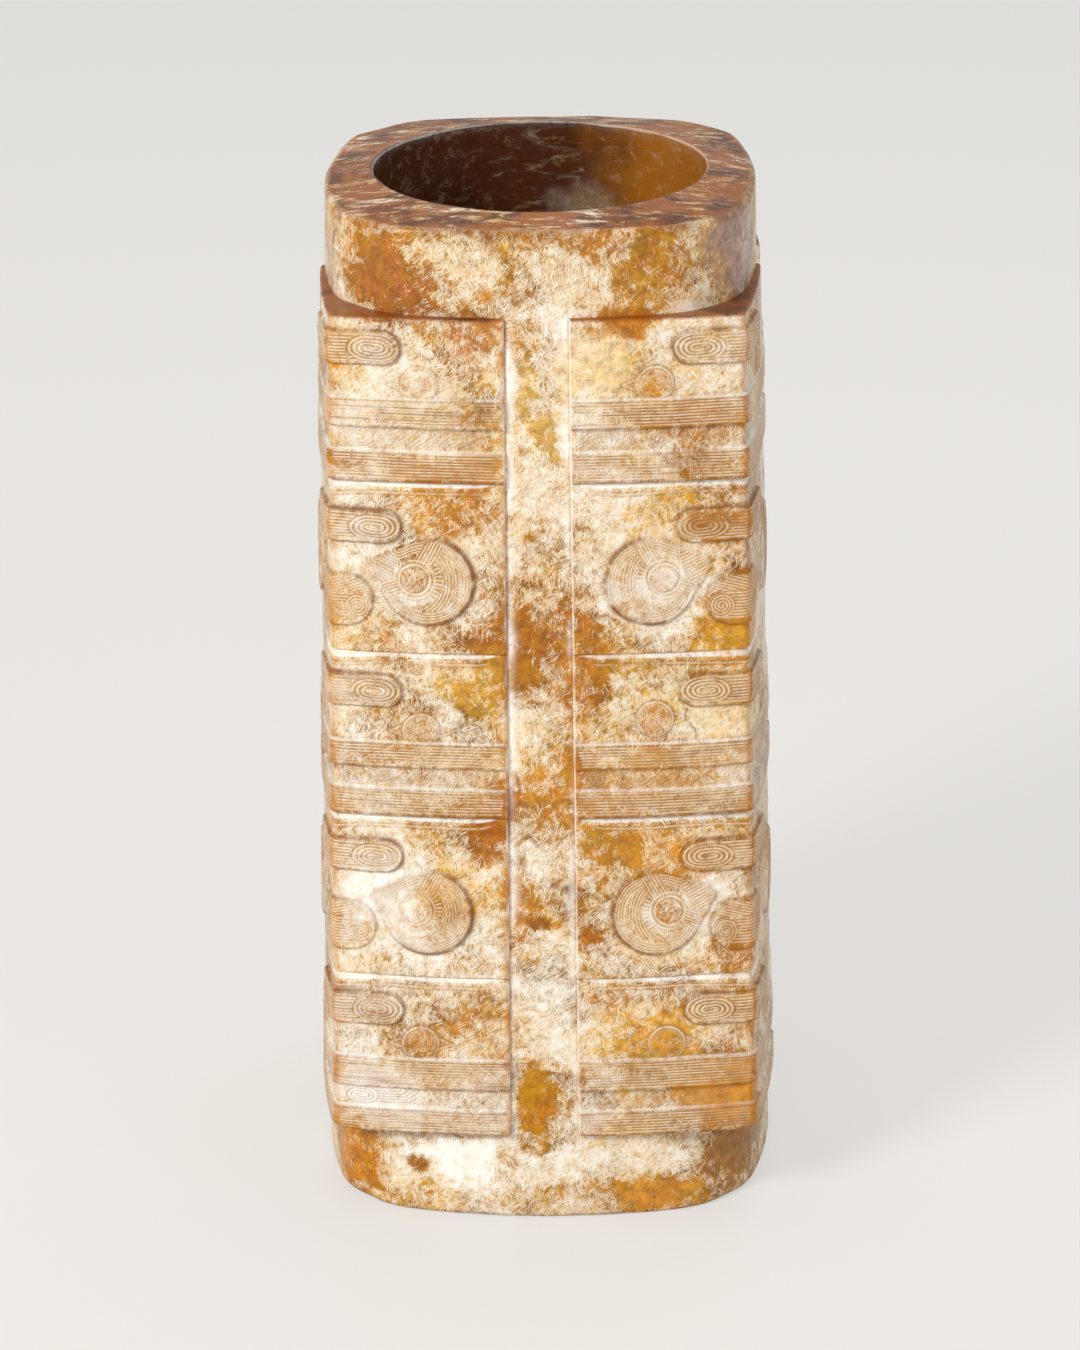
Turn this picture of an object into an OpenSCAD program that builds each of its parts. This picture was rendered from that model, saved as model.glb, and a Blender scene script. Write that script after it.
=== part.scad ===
// A jade cong: a round bore through a square, gently bulging prism of stone.
// The bored tube shows as a collar at each end and as a channel down the middle of each face.
// Between the channels stand four corners of raised blocks in five tiers.
// Odd tiers carry a mask with small round eyes over two bands, even tiers one with large oval eyes.
// The whole object is one stone, so the zones named here lie face to face, with no gap.
// +Z is up, the front face looks along -Y, and the origin is at the middle of the foot.

/* [Stone] */
// Distance from the axis to the middle of a face, halfway up
face_dist = 39.5; // [38:0.1:46]
// Radius of the slow outward curve of each face
face_curve_r = 188; // [120:1:400]
// How much nearer to the axis each face is at the rim than at the foot
face_lean = 3.2; // [0.5:0.1:5]

/* [Tube] */
// Radius of the bore
bore_r = 28.7; // [20:0.1:30]
// Depth of the channels and the collars below the middle of the faces
tube_inset = 0.8; // [0.4:0.1:2]
// Radius of the curve of each side of the tube
tube_curve_r = 95; // [70:1:180]
// Depth of the tube's rounded corner below the corner of the blocks
tube_corner_depth = 7.3; // [6:0.1:9]
// Height of the collar at the foot
foot_h = 16.3; // [8:0.1:30]
// Height of the collar at the rim
rim_h = 16.1; // [8:0.1:30]
// How far the rim's top falls from the bore to the outer edge
rim_fall = 1; // [0.2:0.1:3]

/* [Channels] */
// Width of a channel at the foot
channel_foot_w = 12.2; // [6:0.1:16]
// Width of a channel at the rim
channel_rim_w = 10.8; // [6:0.1:16]

/* [Tiers] */
// Heights of the five tiers, from the foot up
tier_h = [30.1, 30.2, 29.9, 30.7, 28.7]; // [29:0.1:36]
// Height of the groove under each tier boundary
groove_h = 0.9; // [0.4:0.1:1.6]
// Depth of that groove
groove_depth = 0.4; // [0.2:0.1:0.8]

/* [Nose bars] */
// Length of a nose bar along each face, from the corner
nose_len = 12.2; // [8:0.1:16]
// Height of a nose bar
nose_h = 5.8; // [3:0.1:7]
// Plain strip between a tier's top and its nose bar
nose_drop = 4.2; // [2:0.1:5]
// The same strip on the top tier
top_nose_drop = 2.4; // [1.5:0.1:5]
// How far a nose bar stands out
nose_relief = 0.5; // [0.2:0.1:1]

/* [Small eyes] */
// Distance of a small eye's centre from the corner
eye_from_corner = 15.3; // [12:0.1:20]
// Outer radius of a small eye
eye_r = 3.2; // [2:0.1:3.6]
// Radius of its pupil
eye_pupil_r = 1.5; // [0.6:0.1:1.6]
// Width of the ring round the pupil
eye_ring_w = 1; // [0.3:0.1:1.4]
// Gap between the nose bar and the eye
eye_gap = 0.2; // [0.1:0.1:1]
// How far a small eye stands out
eye_relief = 0.3; // [0.1:0.1:0.8]

/* [Bands] */
// Height of the lower band
lower_band_h = 5.4; // [3:0.1:6]
// Recessed strip between the two bands
band_gap = 3.9; // [2:0.1:5]
// Height of the upper band
upper_band_h = 5.2; // [3:0.1:6]
// How far the bands stand out
band_relief = 0.35; // [0.1:0.05:0.8]

/* [Large eyes] */
// Distance of a large eye's centre from the corner
oval_from_corner = 15.3; // [12:0.1:18]
// Height of that centre above the tier's lower edge
oval_up = 12.9; // [9:0.1:14]
// Width of a large eye
oval_w = 18.2; // [17:0.1:22]
// Height of a large eye
oval_h = 15.6; // [12:0.1:16.5]
// How far a large eye stands out
oval_relief = 0.45; // [0.2:0.05:1]
// Radius of its pupil
oval_pupil_r = 2.6; // [1:0.1:4]
// Width of the groove round the pupil
oval_ring_w = 0.7; // [0.3:0.1:1.5]
// How far the pupil lies towards the corner from the eye's centre
oval_pupil_shift = 1; // [0:0.1:2]

/* [Bridges] */
// Length of the bridge between two large eyes, from the corner
bridge_len = 7.6; // [6.6:0.1:10]
// Height of the bridge
bridge_h = 9; // [4:0.1:10]
// Height of its lower edge above the tier's lower edge
bridge_up = 4.8; // [2:0.1:6]
// How far the bridge stands out
bridge_relief = 0.25; // [0.1:0.05:0.6]

/* [Hidden] */
// Fineness of round shapes
$fn = 144;
// Room for a cutting shape to run past what it cuts
past = 5;
// Half the width of the box that holds each quarter of the stone
reach = 70;

tier_count = len(tier_h);
function sum_to(list, n) = n <= 0 ? 0 : list[n - 1] + sum_to(list, n - 1);
function tier_z(tier) = foot_h + sum_to(tier_h, tier - 1);
height = foot_h + sum_to(tier_h, tier_count) + rim_h;
lean_angle = atan(face_lean / height);
channel_angle = atan((channel_foot_w - channel_rim_w) / 2 / height);

function dist_at(z) = face_dist + face_lean * (0.5 - z / height);
// The corner lies where two curved faces meet on the diagonal
function corner_at(z) =
    let (back = dist_at(z) - face_curve_r)
    (back + sqrt(2 * face_curve_r * face_curve_r - back * back)) / 2;
function tube_corner_r(z) = sqrt(2) * corner_at(z) - tube_corner_depth;
function nose_top(tier) = tier_z(tier) + tier_h[tier - 1]
    - (tier == tier_count ? top_nose_drop : nose_drop);
function has_small_eyes(tier) = tier % 2 == 1;

CORNERS = ["back_right", "back_left", "front_left", "front_right"];
function block_name(tier, corner) = str("tier_", tier, "_", CORNERS[corner]);

// Four leaning cylinders meet in a prism with bulging faces that narrows upwards
module bulging_prism(dist, curve_r) {
    intersection_for(side = [0:3])
        rotate(90 * side)
            translate([0, dist - curve_r, height / 2])
                rotate([lean_angle, 0, 0])
                    cylinder(r = curve_r, h = height + 4 * past, center = true);
}

module stone_skin(relief = 0) {
    bulging_prism(face_dist + relief, face_curve_r);
}

module tube_skin() {
    intersection() {
        bulging_prism(face_dist - tube_inset, tube_curve_r);
        cylinder(r1 = tube_corner_r(0), r2 = tube_corner_r(height), h = height);
    }
}

module bore() {
    translate([0, 0, -past]) cylinder(r = bore_r, h = height + 2 * past);
}

module level_slice(low, high) {
    translate([-reach, -reach, low]) cube([2 * reach, 2 * reach, high - low]);
}

module tube_zone(low, high) {
    difference() {
        intersection() {
            tube_skin();
            level_slice(low, high);
        }
        bore();
    }
}

// What is drawn on the back face of a block is drawn on its right face too
module on_both_faces() {
    children();
    mirror([1, -1, 0]) children();
}

// The channels run up the middle of the faces and narrow a little towards the rim
module channels() {
    on_both_faces()
        translate([channel_foot_w / 2, 0, 0])
            rotate([0, -channel_angle, 0])
                translate([-reach, -reach, -past])
                    cube([reach, 2 * reach, height + 2 * past]);
}

// One layer of a corner block, grown outwards by the relief, between two heights
module corner_layer(low, high, relief) {
    intersection() {
        stone_skin(relief);
        translate([0, 0, low]) cube([reach, reach, high - low]);
    }
}

// A bar from past the corner inwards, with one round end
module bar_mask(corner_x, length, bar_h) {
    end_r = bar_h / 2;
    translate([corner_x - length + end_r, 0, end_r]) {
        rotate([-90, 0, 0]) cylinder(r = end_r, h = reach);
        translate([0, 0, -end_r]) cube([reach, reach, bar_h]);
    }
}

module round_mask(x, z, radius) {
    translate([x, 0, z]) rotate([-90, 0, 0]) cylinder(r = radius, h = reach);
}

module oval_mask(x, z) {
    end_r = oval_h / 2;
    side = (oval_w - oval_h) / 2;
    for (way = [-1, 1]) round_mask(x + way * side, z, end_r);
    translate([x - side, 0, z - end_r]) cube([2 * side, reach, oval_h]);
}

// A shape on the face, as thick as its relief and seated in the block
module raised(relief) {
    intersection() {
        stone_skin(relief);
        on_both_faces() children();
    }
}

module nose_bar(tier) {
    low = nose_top(tier) - nose_h;
    raised(nose_relief)
        translate([0, 0, low]) bar_mask(corner_at(low), nose_len, nose_h);
}

module small_eyes(tier) {
    z = nose_top(tier) - nose_h - eye_gap - eye_r;
    x = corner_at(z) - eye_from_corner;
    raised(eye_relief)
        difference() {
            round_mask(x, z, eye_r);
            difference() {
                round_mask(x, z, eye_pupil_r + eye_ring_w);
                round_mask(x, z, eye_pupil_r);
            }
        }
}

module bands(tier) {
    low = tier_z(tier);
    upper_low = low + lower_band_h + band_gap;
    corner_layer(low, low + lower_band_h, band_relief);
    corner_layer(upper_low, upper_low + upper_band_h, band_relief);
}

module large_eyes(tier) {
    z = tier_z(tier) + oval_up;
    x = corner_at(z) - oval_from_corner;
    raised(oval_relief)
        difference() {
            oval_mask(x, z);
            difference() {
                round_mask(x + oval_pupil_shift, z, oval_pupil_r + oval_ring_w);
                round_mask(x + oval_pupil_shift, z, oval_pupil_r);
            }
        }
}

module bridge(tier) {
    low = tier_z(tier) + bridge_up;
    raised(bridge_relief)
        translate([0, 0, low]) bar_mask(corner_at(low), bridge_len, bridge_h);
}

// The block's plain body, with the groove under the next tier cut into its upper edge
module block_body(tier) {
    low = tier_z(tier);
    high = low + tier_h[tier - 1];
    if (tier == tier_count) {
        corner_layer(low, high, 0);
    } else {
        corner_layer(low, high - groove_h, 0);
        corner_layer(high - groove_h - past, high, -groove_depth);
    }
}

module corner_block(tier, corner) {
    color(has_small_eyes(tier) ? "burlywood" : "wheat")
        rotate(90 * corner)
            difference() {
                union() {
                    block_body(tier);
                    nose_bar(tier);
                    if (has_small_eyes(tier)) {
                        small_eyes(tier);
                        bands(tier);
                    } else {
                        large_eyes(tier);
                        bridge(tier);
                    }
                }
                tube_skin();
                channels();
            }
}

module lower_collar() {
    color("tan") tube_zone(0, foot_h);
}

module tube_shaft() {
    color("antiquewhite") tube_zone(foot_h, height - rim_h);
}

// The rim's top slopes from the bore down to its outer edge
module upper_collar() {
    slope = rim_fall / (face_dist - bore_r);
    color("peru")
        intersection() {
            tube_zone(height - rim_h, height);
            translate([0, 0, height - rim_h])
                cylinder(r1 = bore_r + rim_h / slope, r2 = bore_r, h = rim_h);
        }
}

lower_collar();
tube_shaft();
upper_collar();
for (tier = [1:tier_count], corner = [0:3])
    corner_block(tier, corner);
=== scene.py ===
"""The dressed jade cong: carved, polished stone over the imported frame, in a plain pale studio.

All shapes are worked out in millimetres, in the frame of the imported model, and turned into metres
when a mesh is made. +Z runs up the bore and the front face looks along -Y.
"""

from __future__ import annotations

import logging
import math
from dataclasses import dataclass, field
from enum import Enum, IntEnum
from typing import Callable, Optional, Sequence, Union

import bpy
import numpy as np
from mathutils import Matrix, Vector

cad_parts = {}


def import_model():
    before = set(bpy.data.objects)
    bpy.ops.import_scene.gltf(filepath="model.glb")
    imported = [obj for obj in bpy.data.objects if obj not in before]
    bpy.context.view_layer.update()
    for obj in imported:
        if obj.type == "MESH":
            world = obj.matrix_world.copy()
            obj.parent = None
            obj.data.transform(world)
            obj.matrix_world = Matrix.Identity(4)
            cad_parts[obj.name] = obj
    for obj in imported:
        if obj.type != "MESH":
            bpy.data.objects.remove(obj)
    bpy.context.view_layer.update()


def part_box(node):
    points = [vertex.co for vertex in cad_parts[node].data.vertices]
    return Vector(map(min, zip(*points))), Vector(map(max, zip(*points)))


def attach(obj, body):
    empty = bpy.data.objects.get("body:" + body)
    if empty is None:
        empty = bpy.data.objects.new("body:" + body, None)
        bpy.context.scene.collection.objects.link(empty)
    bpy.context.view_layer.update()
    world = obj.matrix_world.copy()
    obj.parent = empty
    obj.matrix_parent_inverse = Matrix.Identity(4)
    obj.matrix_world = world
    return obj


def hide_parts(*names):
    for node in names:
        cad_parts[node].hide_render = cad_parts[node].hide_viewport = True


log = logging.getLogger("cong")

Array = np.ndarray
Colour = tuple[float, float, float, float]
Triple = tuple[float, float, float]
Socket = bpy.types.NodeSocket
BakeMap = Callable[[Array, Array, Array, Array], tuple[Array, Array]]

MM = 0.001
BAKE_UV = "OFBake"
CARVING = "carving"
TINTING = "tinting"
STONE_SEED = 1907
# How close to a joint the next row lies, in millimetres
CLOSE_ROW = 0.03


class Mark(IntEnum):
    """What is kept for each place of a skin for the finish to read, four marks to a layer.

    SPARE only fills the second layer's last channel.
    """

    GROOVE = 0
    # EDGE: brown at the feet of steps, under overhangs and on undersides, partly stain and partly painted
    # shade
    EDGE = 1
    RAISED = 2
    # SHELF: tops of shelves, browned; below the upper collar this brown is painted shadow
    SHELF = 3
    LINED = 4
    # AMBER: the stone's own in eye discs and pupils; painted shade at channel edges, partly painted shade
    # along rounded corners
    AMBER = 5
    # CHALK: pale alteration, and painted highlights on lips, band tops, channel edges and the bore's edge
    CHALK = 6
    SPARE = 7


def linear(hex_colour: str) -> Colour:
    """Turns a screen colour such as "#C58A4A" into Blender's linear values.

    Args:
        hex_colour: six hexadecimal digits after a hash sign.

    Returns:
        Red, green, blue and an alpha of 1.
    """
    parts = [int(hex_colour[i : i + 2], 16) / 255 for i in (1, 3, 5)]
    red, green, blue = (
        part / 12.92 if part <= 0.04045 else ((part + 0.055) / 1.055) ** 2.4 for part in parts
    )
    return (red, green, blue, 1.0)


def smooth(value: Array) -> Array:
    """Eases a value from 0 to 1 and holds it at both ends."""
    held = np.clip(value, 0.0, 1.0)
    return held * held * (3 - 2 * held)


def bell(value: Array, width: Union[float, Array]) -> Array:
    """A soft peak of 1 where the value is 0."""
    return np.exp(-((value / width) ** 2))


def round_axis(radius: Union[float, Array], angle: Array, z: Union[float, Array]) -> Array:
    """Places at distances and directions from the stone's axis."""
    return np.stack([radius * np.cos(angle), radius * np.sin(angle), z + 0 * angle], axis=-1)


def wound(ring: Array, x: Array, y: Array, pitch: float) -> Array:
    """Turns nested rings into a spiral that gains one pitch in each turn."""
    return ring - pitch * np.arctan2(y, x) / (2 * math.pi)


def to_line(phase: Array, pitch: float) -> Array:
    """Distance to the nearest of a set of lines that lie one pitch apart."""
    turns = phase / pitch
    return np.abs(turns - np.round(turns)) * pitch


def to_segment(x: Array, y: Array, start: tuple[float, float], end: tuple[float, float]) -> Array:
    """Distance from each point to a straight cut.

    Args:
        x: first coordinates of the points.
        y: second coordinates of the points.
        start: one end of the cut.
        end: the other end.

    Returns:
        The distances.
    """
    along = (end[0] - start[0], end[1] - start[1])
    length = math.hypot(*along) ** 2
    share = np.clip(((x - start[0]) * along[0] + (y - start[1]) * along[1]) / length, 0, 1)
    return np.hypot(x - start[0] - share * along[0], y - start[1] - share * along[1])


class StoneNoise:
    """Smooth seeded unevenness over space, the same at a place for every zone of the stone."""

    def __init__(self, seed: int, size: int = 24) -> None:
        """Fills the lattice.

        Args:
            seed: which unevenness it is.
            size: cells along each side before it repeats.
        """
        self.size = size
        random = np.random.default_rng(seed)
        self.lattice = random.uniform(-1, 1, (size, size, size)).astype(np.float32)

    def at(self, points: Array, lump: float) -> Array:
        """Reads the unevenness.

        Args:
            points: places, three millimetre values each.
            lump: rough size of one lump.

        Returns:
            One value from -1 to 1 for each place.
        """
        scaled = points / lump + 311.0
        cell = np.floor(scaled).astype(np.int64)
        part = scaled - cell
        part = part * part * (3 - 2 * part)
        low = cell % self.size
        high = (cell + 1) % self.size
        total = np.zeros(points.shape[:-1])
        for corner in range(8):
            pick = [(corner >> axis) & 1 for axis in range(3)]
            index = tuple((high if pick[axis] else low)[..., axis] for axis in range(3))
            weight = np.ones(points.shape[:-1])
            for axis in range(3):
                weight = weight * (part[..., axis] if pick[axis] else 1 - part[..., axis])
            total += weight * self.lattice[index]
        return total

    def rough(self, points: Array, lump: float, layers: int = 3) -> Array:
        """Adds finer lumps to coarse ones, each layer half as big and half as strong."""
        return sum(self.at(points, lump / 2**k) / 2**k for k in range(layers))


@dataclass(frozen=True)
class StoneForm:
    """The measured shape of the whole stone, as the solids have it, in millimetres."""

    height: float = 182.0
    face_dist: float = 39.5
    face_curve_r: float = 188.0
    face_lean: float = 3.2
    bore_r: float = 28.7
    tube_inset: float = 0.8
    tube_curve_r: float = 95.0
    tube_corner_depth: float = 7.3
    tube_corner_blend: float = 1.2
    channel_foot_w: float = 12.2
    channel_rim_w: float = 10.8
    rim_fall: float = 1.0

    def dist_at(self, z: Array) -> Array:
        """Distance from the axis to the middle of a face at a height."""
        return self.face_dist + self.face_lean * (0.5 - z / self.height)

    def corner_at(self, z: Array) -> Array:
        """How far along both axes the sharp corner of the faces lies at a height."""
        back = self.dist_at(z) - self.face_curve_r
        return (back + np.sqrt(2 * self.face_curve_r**2 - back * back)) / 2

    def channel_half(self, z: Array) -> Array:
        """Half the width of a channel at a height."""
        foot, rim = self.channel_foot_w / 2, self.channel_rim_w / 2
        return foot + (rim - foot) * z / self.height

    def tube_radius(self, angle: Array, z: Array) -> Array:
        """Distance from the axis to the tube's skin.

        Args:
            angle: direction from the axis, in radians.
            z: height.

        Returns:
            The smallest of the four side curves and the corner circle, blended where they meet.
        """
        back = self.dist_at(z) - self.tube_inset - self.tube_curve_r
        sides = []
        for side in range(4):
            turn = angle - side * math.pi / 2
            ahead = np.cos(turn) > 0.3
            reach = back * np.cos(turn) + np.sqrt(
                np.maximum(self.tube_curve_r**2 - (back * np.sin(turn)) ** 2, 1.0)
            )
            sides.append(np.where(ahead, reach, 1e3))
        flat = np.minimum.reduce(sides)
        corner = math.sqrt(2) * self.corner_at(z) - self.tube_corner_depth
        overlap = np.clip(1 - np.abs(flat - corner) / self.tube_corner_blend, 0, 1)
        return np.minimum(flat, corner) - overlap**2 * self.tube_corner_blend / 4


@dataclass(frozen=True)
class StoneSkin:
    """A closed skin of loops that stand side by side, with what its finish and its bake read."""

    points: Array
    marks: Array
    bake: BakeMap
    around: bool
    flat_rows: tuple[int, int]
    cap_bake: Optional[Array] = None

    def build(self, name: str) -> bpy.types.Object:
        """Makes the mesh object.

        Args:
            name: the piece's name.

        Returns:
            The object, with its carving marks and its bake map.
        """
        columns, rows, _ = self.points.shape
        strips = columns if self.around else columns - 1
        at_column, at_row = (grid.ravel() for grid in np.mgrid[0:strips, 0:rows])
        side_corners, uvs = [], []
        for step_column, step_row in ((0, 0), (1, 0), (1, 1), (0, 1)):
            next_column = (at_column + step_column) % columns
            next_row = (at_row + step_row) % rows
            side_corners.append(next_column * rows + next_row)
            u, v = self.bake(
                at_column, at_row, np.full_like(at_column, step_column), np.full_like(at_row, step_row)
            )
            uvs.append(np.stack([u, v], axis=-1))
        corners = np.stack(side_corners, axis=1).ravel()
        uv = np.stack(uvs, axis=1).reshape(-1, 2)
        starts = np.arange(0, len(corners), 4)
        low_flat, high_flat = self.flat_rows
        rounded = ~((at_row >= low_flat) & (at_row < high_flat))
        if self.cap_bake is not None:
            first = np.arange(rows)
            last = np.arange(rows)[::-1] + (columns - 1) * rows
            starts = np.concatenate([starts, [len(corners), len(corners) + rows]])
            corners = np.concatenate([corners, first, last])
            other = self.cap_bake[::-1].copy()
            other[:, 0] = 1 - other[:, 0]
            uv = np.concatenate([uv, self.cap_bake, other])
            rounded = np.concatenate([rounded, [False, False]])

        mesh = bpy.data.meshes.new(name)
        mesh.vertices.add(columns * rows)
        mesh.vertices.foreach_set("co", (self.points * MM).astype(np.float32).ravel())
        mesh.loops.add(len(corners))
        mesh.loops.foreach_set("vertex_index", corners.astype(np.int32))
        mesh.polygons.add(len(starts))
        mesh.polygons.foreach_set("loop_start", starts.astype(np.int32))
        mesh.update(calc_edges=True)
        mesh.polygons.foreach_set("use_smooth", rounded)
        kept = self.marks.astype(np.float32)
        for layer_name, part in ((CARVING, kept[..., : Mark.LINED]), (TINTING, kept[..., Mark.LINED :])):
            marks = mesh.attributes.new(layer_name, "FLOAT_COLOR", "POINT")
            marks.data.foreach_set("color", np.ascontiguousarray(part).ravel())
        layer = mesh.uv_layers.new(name=BAKE_UV)
        layer.data.foreach_set("uv", uv.astype(np.float32).ravel())
        mesh.validate()
        mesh.update()
        piece = bpy.data.objects.new(name, mesh)
        bpy.context.scene.collection.objects.link(piece)
        return piece


@dataclass
class Carving:
    """The two faces of one corner block while they are carved, over a grid of places.

    across is the distance from the corner, up the height above the tier's lower edge, and along
    a coordinate that runs to the right as someone in front of the face sees it.
    """

    across: Array
    up: Array
    along: Array
    width: Array
    wear: Array
    uneven: Array
    streaks: Array
    height: Array = field(init=False)
    groove: Array = field(init=False)
    edge: Array = field(init=False)
    raised: Array = field(init=False)
    lined: Array = field(init=False)
    amber: Array = field(init=False)
    chalk: Array = field(init=False)

    def __post_init__(self) -> None:
        """Starts from an uncarved face."""
        for layer in ("height", "groove", "edge", "raised", "lined", "amber", "chalk"):
            setattr(self, layer, np.zeros_like(self.across))

    def keep_most(self, **layers: Array) -> None:
        """Keeps the stronger of what a layer has and what is given, at each place."""
        for layer, value in layers.items():
            setattr(self, layer, np.maximum(getattr(self, layer), value))

    def set_level(
        self, inside: Array, level: Union[float, Array], shoulder: float, brown: Union[float, Array]
    ) -> None:
        """Brings an area to one level, with a rounded shoulder and a brown foot that is partly stain and
        partly painted shade.

        Args:
            inside: distance inside the area's outline, negative outside it.
            level: the height it is brought to.
            shoulder: width of the step.
            brown: how brown the step's foot is, stain and painted shade together.
        """
        share = smooth(inside / shoulder + 0.7)
        self.height += (level - self.height) * share
        self.raised += (np.where(level > 0, 1.0, 0.0) - self.raised) * share
        self.edge *= 1 - share
        # The brown foot is partly stain and partly painted shade, and it spreads wider outside the area.
        spread = np.where(inside < 0, 0.36, 0.28) * (1 + 0.4 * self.uneven)
        foot = bell(inside + 0.05, spread)
        self.keep_most(edge=brown * foot)

    def incise(
        self,
        distance: Array,
        where: Array,
        depth: float = 0.13,
        thick: float = 0.13,
        brown: float = 0.0,
        tint: float = 1.0,
    ) -> None:
        """Cuts thin lines.

        Args:
            distance: distance to the nearest line.
            where: how much of each line is cut, from 0 to 1.
            depth: depth of the cut.
            thick: half its width.
            brown: how brown its ground is, where 0 is chalky.
            tint: how much of the stone's pale skin was cut away between the lines.
        """
        cut = bell(distance, thick) * where * self.wear
        self.height -= depth * cut
        self.keep_most(groove=cut * (1 - brown))
        self.keep_most(edge=cut * brown)
        near = smooth((0.6 - distance) / 0.25) * where
        self.keep_most(lined=tint * near * (0.45 + 0.55 * self.wear))


def bar_inside(across: Array, up: Array, length: float, half: float) -> Array:
    """Distance inside a bar that runs from the corner to a round end."""
    past = np.maximum(across - (length - half), 0)
    return half - np.hypot(past, up)


def oval_turns(x: Array, y: Array, half_w: float, half_h: float) -> Array:
    """Distance of a nested oval from its middle, measured on the short axis."""
    core = 0.4 * (half_w - half_h)
    squeeze = half_h / (half_w - core)
    return np.hypot(np.maximum(np.abs(x) - core, 0) * squeeze, y)


@dataclass(frozen=True)
class NoseBar:
    """The raised bar with a round end that stands for a nose, folded round the corner."""

    length: float = 12.2
    height: float = 5.8
    relief: float = 0.62
    pillow: float = 0.3
    plain_rim: float = 0.6
    oval_from_corner: float = 7.55
    oval_half_w: float = 4.3
    pitch: float = 0.56

    def carve(self, face: Carving, top: float) -> None:
        """Raises the bar and cuts its lines and its oval spiral.

        Args:
            face: the faces being carved.
            top: height of its upper edge above the tier's lower edge.
        """
        up = face.up - (top - self.height / 2)
        inside = bar_inside(face.across, up, self.length, self.height / 2)
        face.set_level(inside, self.relief, shoulder=0.6, brown=1.0)
        face.height += self.pillow * (smooth(inside / (self.height * 0.45)) - 0.5) * smooth(inside / 0.3)
        half_h = self.height / 2 - self.plain_rim
        x = face.across - self.oval_from_corner
        ring = oval_turns(x, up, self.oval_half_w, half_h)
        spiral = wound(ring, x, up, self.pitch)
        in_oval = smooth((half_h - ring) / 0.15 + 1)
        brown = smooth(inside / 0.2) * np.clip(0.2 + 0.4 * face.streaks + 0.3 * face.uneven, 0, 0.6)
        face.keep_most(edge=brown)
        face.incise(to_line(spiral, self.pitch), in_oval * smooth(ring / 0.3))
        beside = (1 - in_oval) * smooth((half_h - np.abs(up)) / 0.2 + 1) * smooth(-x / 0.4)
        face.incise(to_line(up, self.pitch), beside * smooth(face.across / 0.5))


@dataclass(frozen=True)
class SmallEye:
    """A drilled ring with a low dome in it and a pointed corner on each side."""

    from_corner: float = 15.3
    radius: float = 3.2
    inner_r: float = 2.55
    relief: float = 0.16
    dome: float = 0.2
    point: float = 2.2

    def carve(self, face: Carving, up_to: float, shift: tuple[Array, Array]) -> None:
        """Cuts the ring, the dome and the corners of the eye.

        Args:
            face: the faces being carved.
            up_to: height of its centre above the tier's lower edge.
            shift: how far the hand strayed, away from the corner and upwards.
        """
        x = face.across - self.from_corner - shift[0]
        y = face.up - up_to - shift[1]
        ring = np.hypot(x, y)
        face.set_level(self.radius - ring, self.relief, shoulder=0.35, brown=0.3)
        face.height += self.dome * smooth(1 - ring / self.inner_r)
        bright = 0.65 + 0.35 * np.cos(np.arctan2(y, x) - 1.9)
        face.incise(np.abs(ring - self.radius + 0.15), bright, depth=0.2, thick=0.17)
        face.incise(np.abs(ring - self.inner_r), 0.35 * bright, depth=0.1, thick=0.13)
        disc = smooth((self.inner_r - ring) / 0.5)
        face.lined *= 1 - disc
        face.keep_most(amber=disc * np.clip(0.25 + 0.5 * face.uneven, 0, 0.6))
        for side in (-1, 1):
            tip = (side * (self.radius + self.point), -0.1)
            for lid in (-1, 1):
                root = (side * self.radius * 0.97, lid * self.radius * 0.3)
                cut = to_segment(x, y, root, tip)
                face.incise(cut, 0.7 * smooth((np.abs(x) - self.radius) / 0.2), depth=0.1)


@dataclass(frozen=True)
class Band:
    """A raised band of fine lines that runs round the corner from channel to channel."""

    low: float
    height: float
    relief: float = 0.3
    plain_low: float = 0.8
    plain_high: float = 0.25
    pitch: float = 0.54
    corner_plain: float = 0.45
    end_plain: float = 0.5

    def carve(self, face: Carving) -> None:
        """Raises the band and cuts its lines."""
        inside = np.minimum(face.up - self.low, self.low + self.height - face.up)
        if self.low <= 0:
            inside = self.low + self.height - face.up
        face.set_level(inside, self.relief, shoulder=0.45, brown=0.6)
        start = self.low + self.plain_low
        lines = (face.up > start - self.pitch / 2) & (
            face.up < self.low + self.height - self.plain_high
        )
        end_plain = self.end_plain * (1 + 1.4 * face.uneven)
        ends = smooth((face.across - self.corner_plain) / 0.5) * smooth(
            (face.width - end_plain - face.across) / 0.7
        )
        cut = lines * ends * np.clip(0.78 + 0.5 * face.streaks, 0.1, 1)
        face.incise(to_line(face.up - start, self.pitch), cut)
        brown = smooth(inside / 0.2) * np.clip(0.55 * face.streaks + 0.2 * face.uneven, 0, 0.6)
        face.keep_most(edge=brown)
        # Brown along the band's lower edge: painted shadow.
        rim = bell(face.up - self.low - 0.2, 0.27)
        face.keep_most(edge=rim * (0.85 + 0.3 * face.uneven))
        brow = bell(self.low + self.height - 0.3 - face.up, 0.16)
        face.keep_most(edge=brow * np.clip(0.55 + 0.5 * face.uneven, 0, 1))
        # White along the band's upper edge: painted highlight, which lifts the brown there.
        crest_highlight = bell(face.up - self.low - self.height - 0.02, 0.2)
        face.keep_most(chalk=0.6 * crest_highlight * face.wear)
        face.edge *= 1 - 0.7 * crest_highlight


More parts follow.
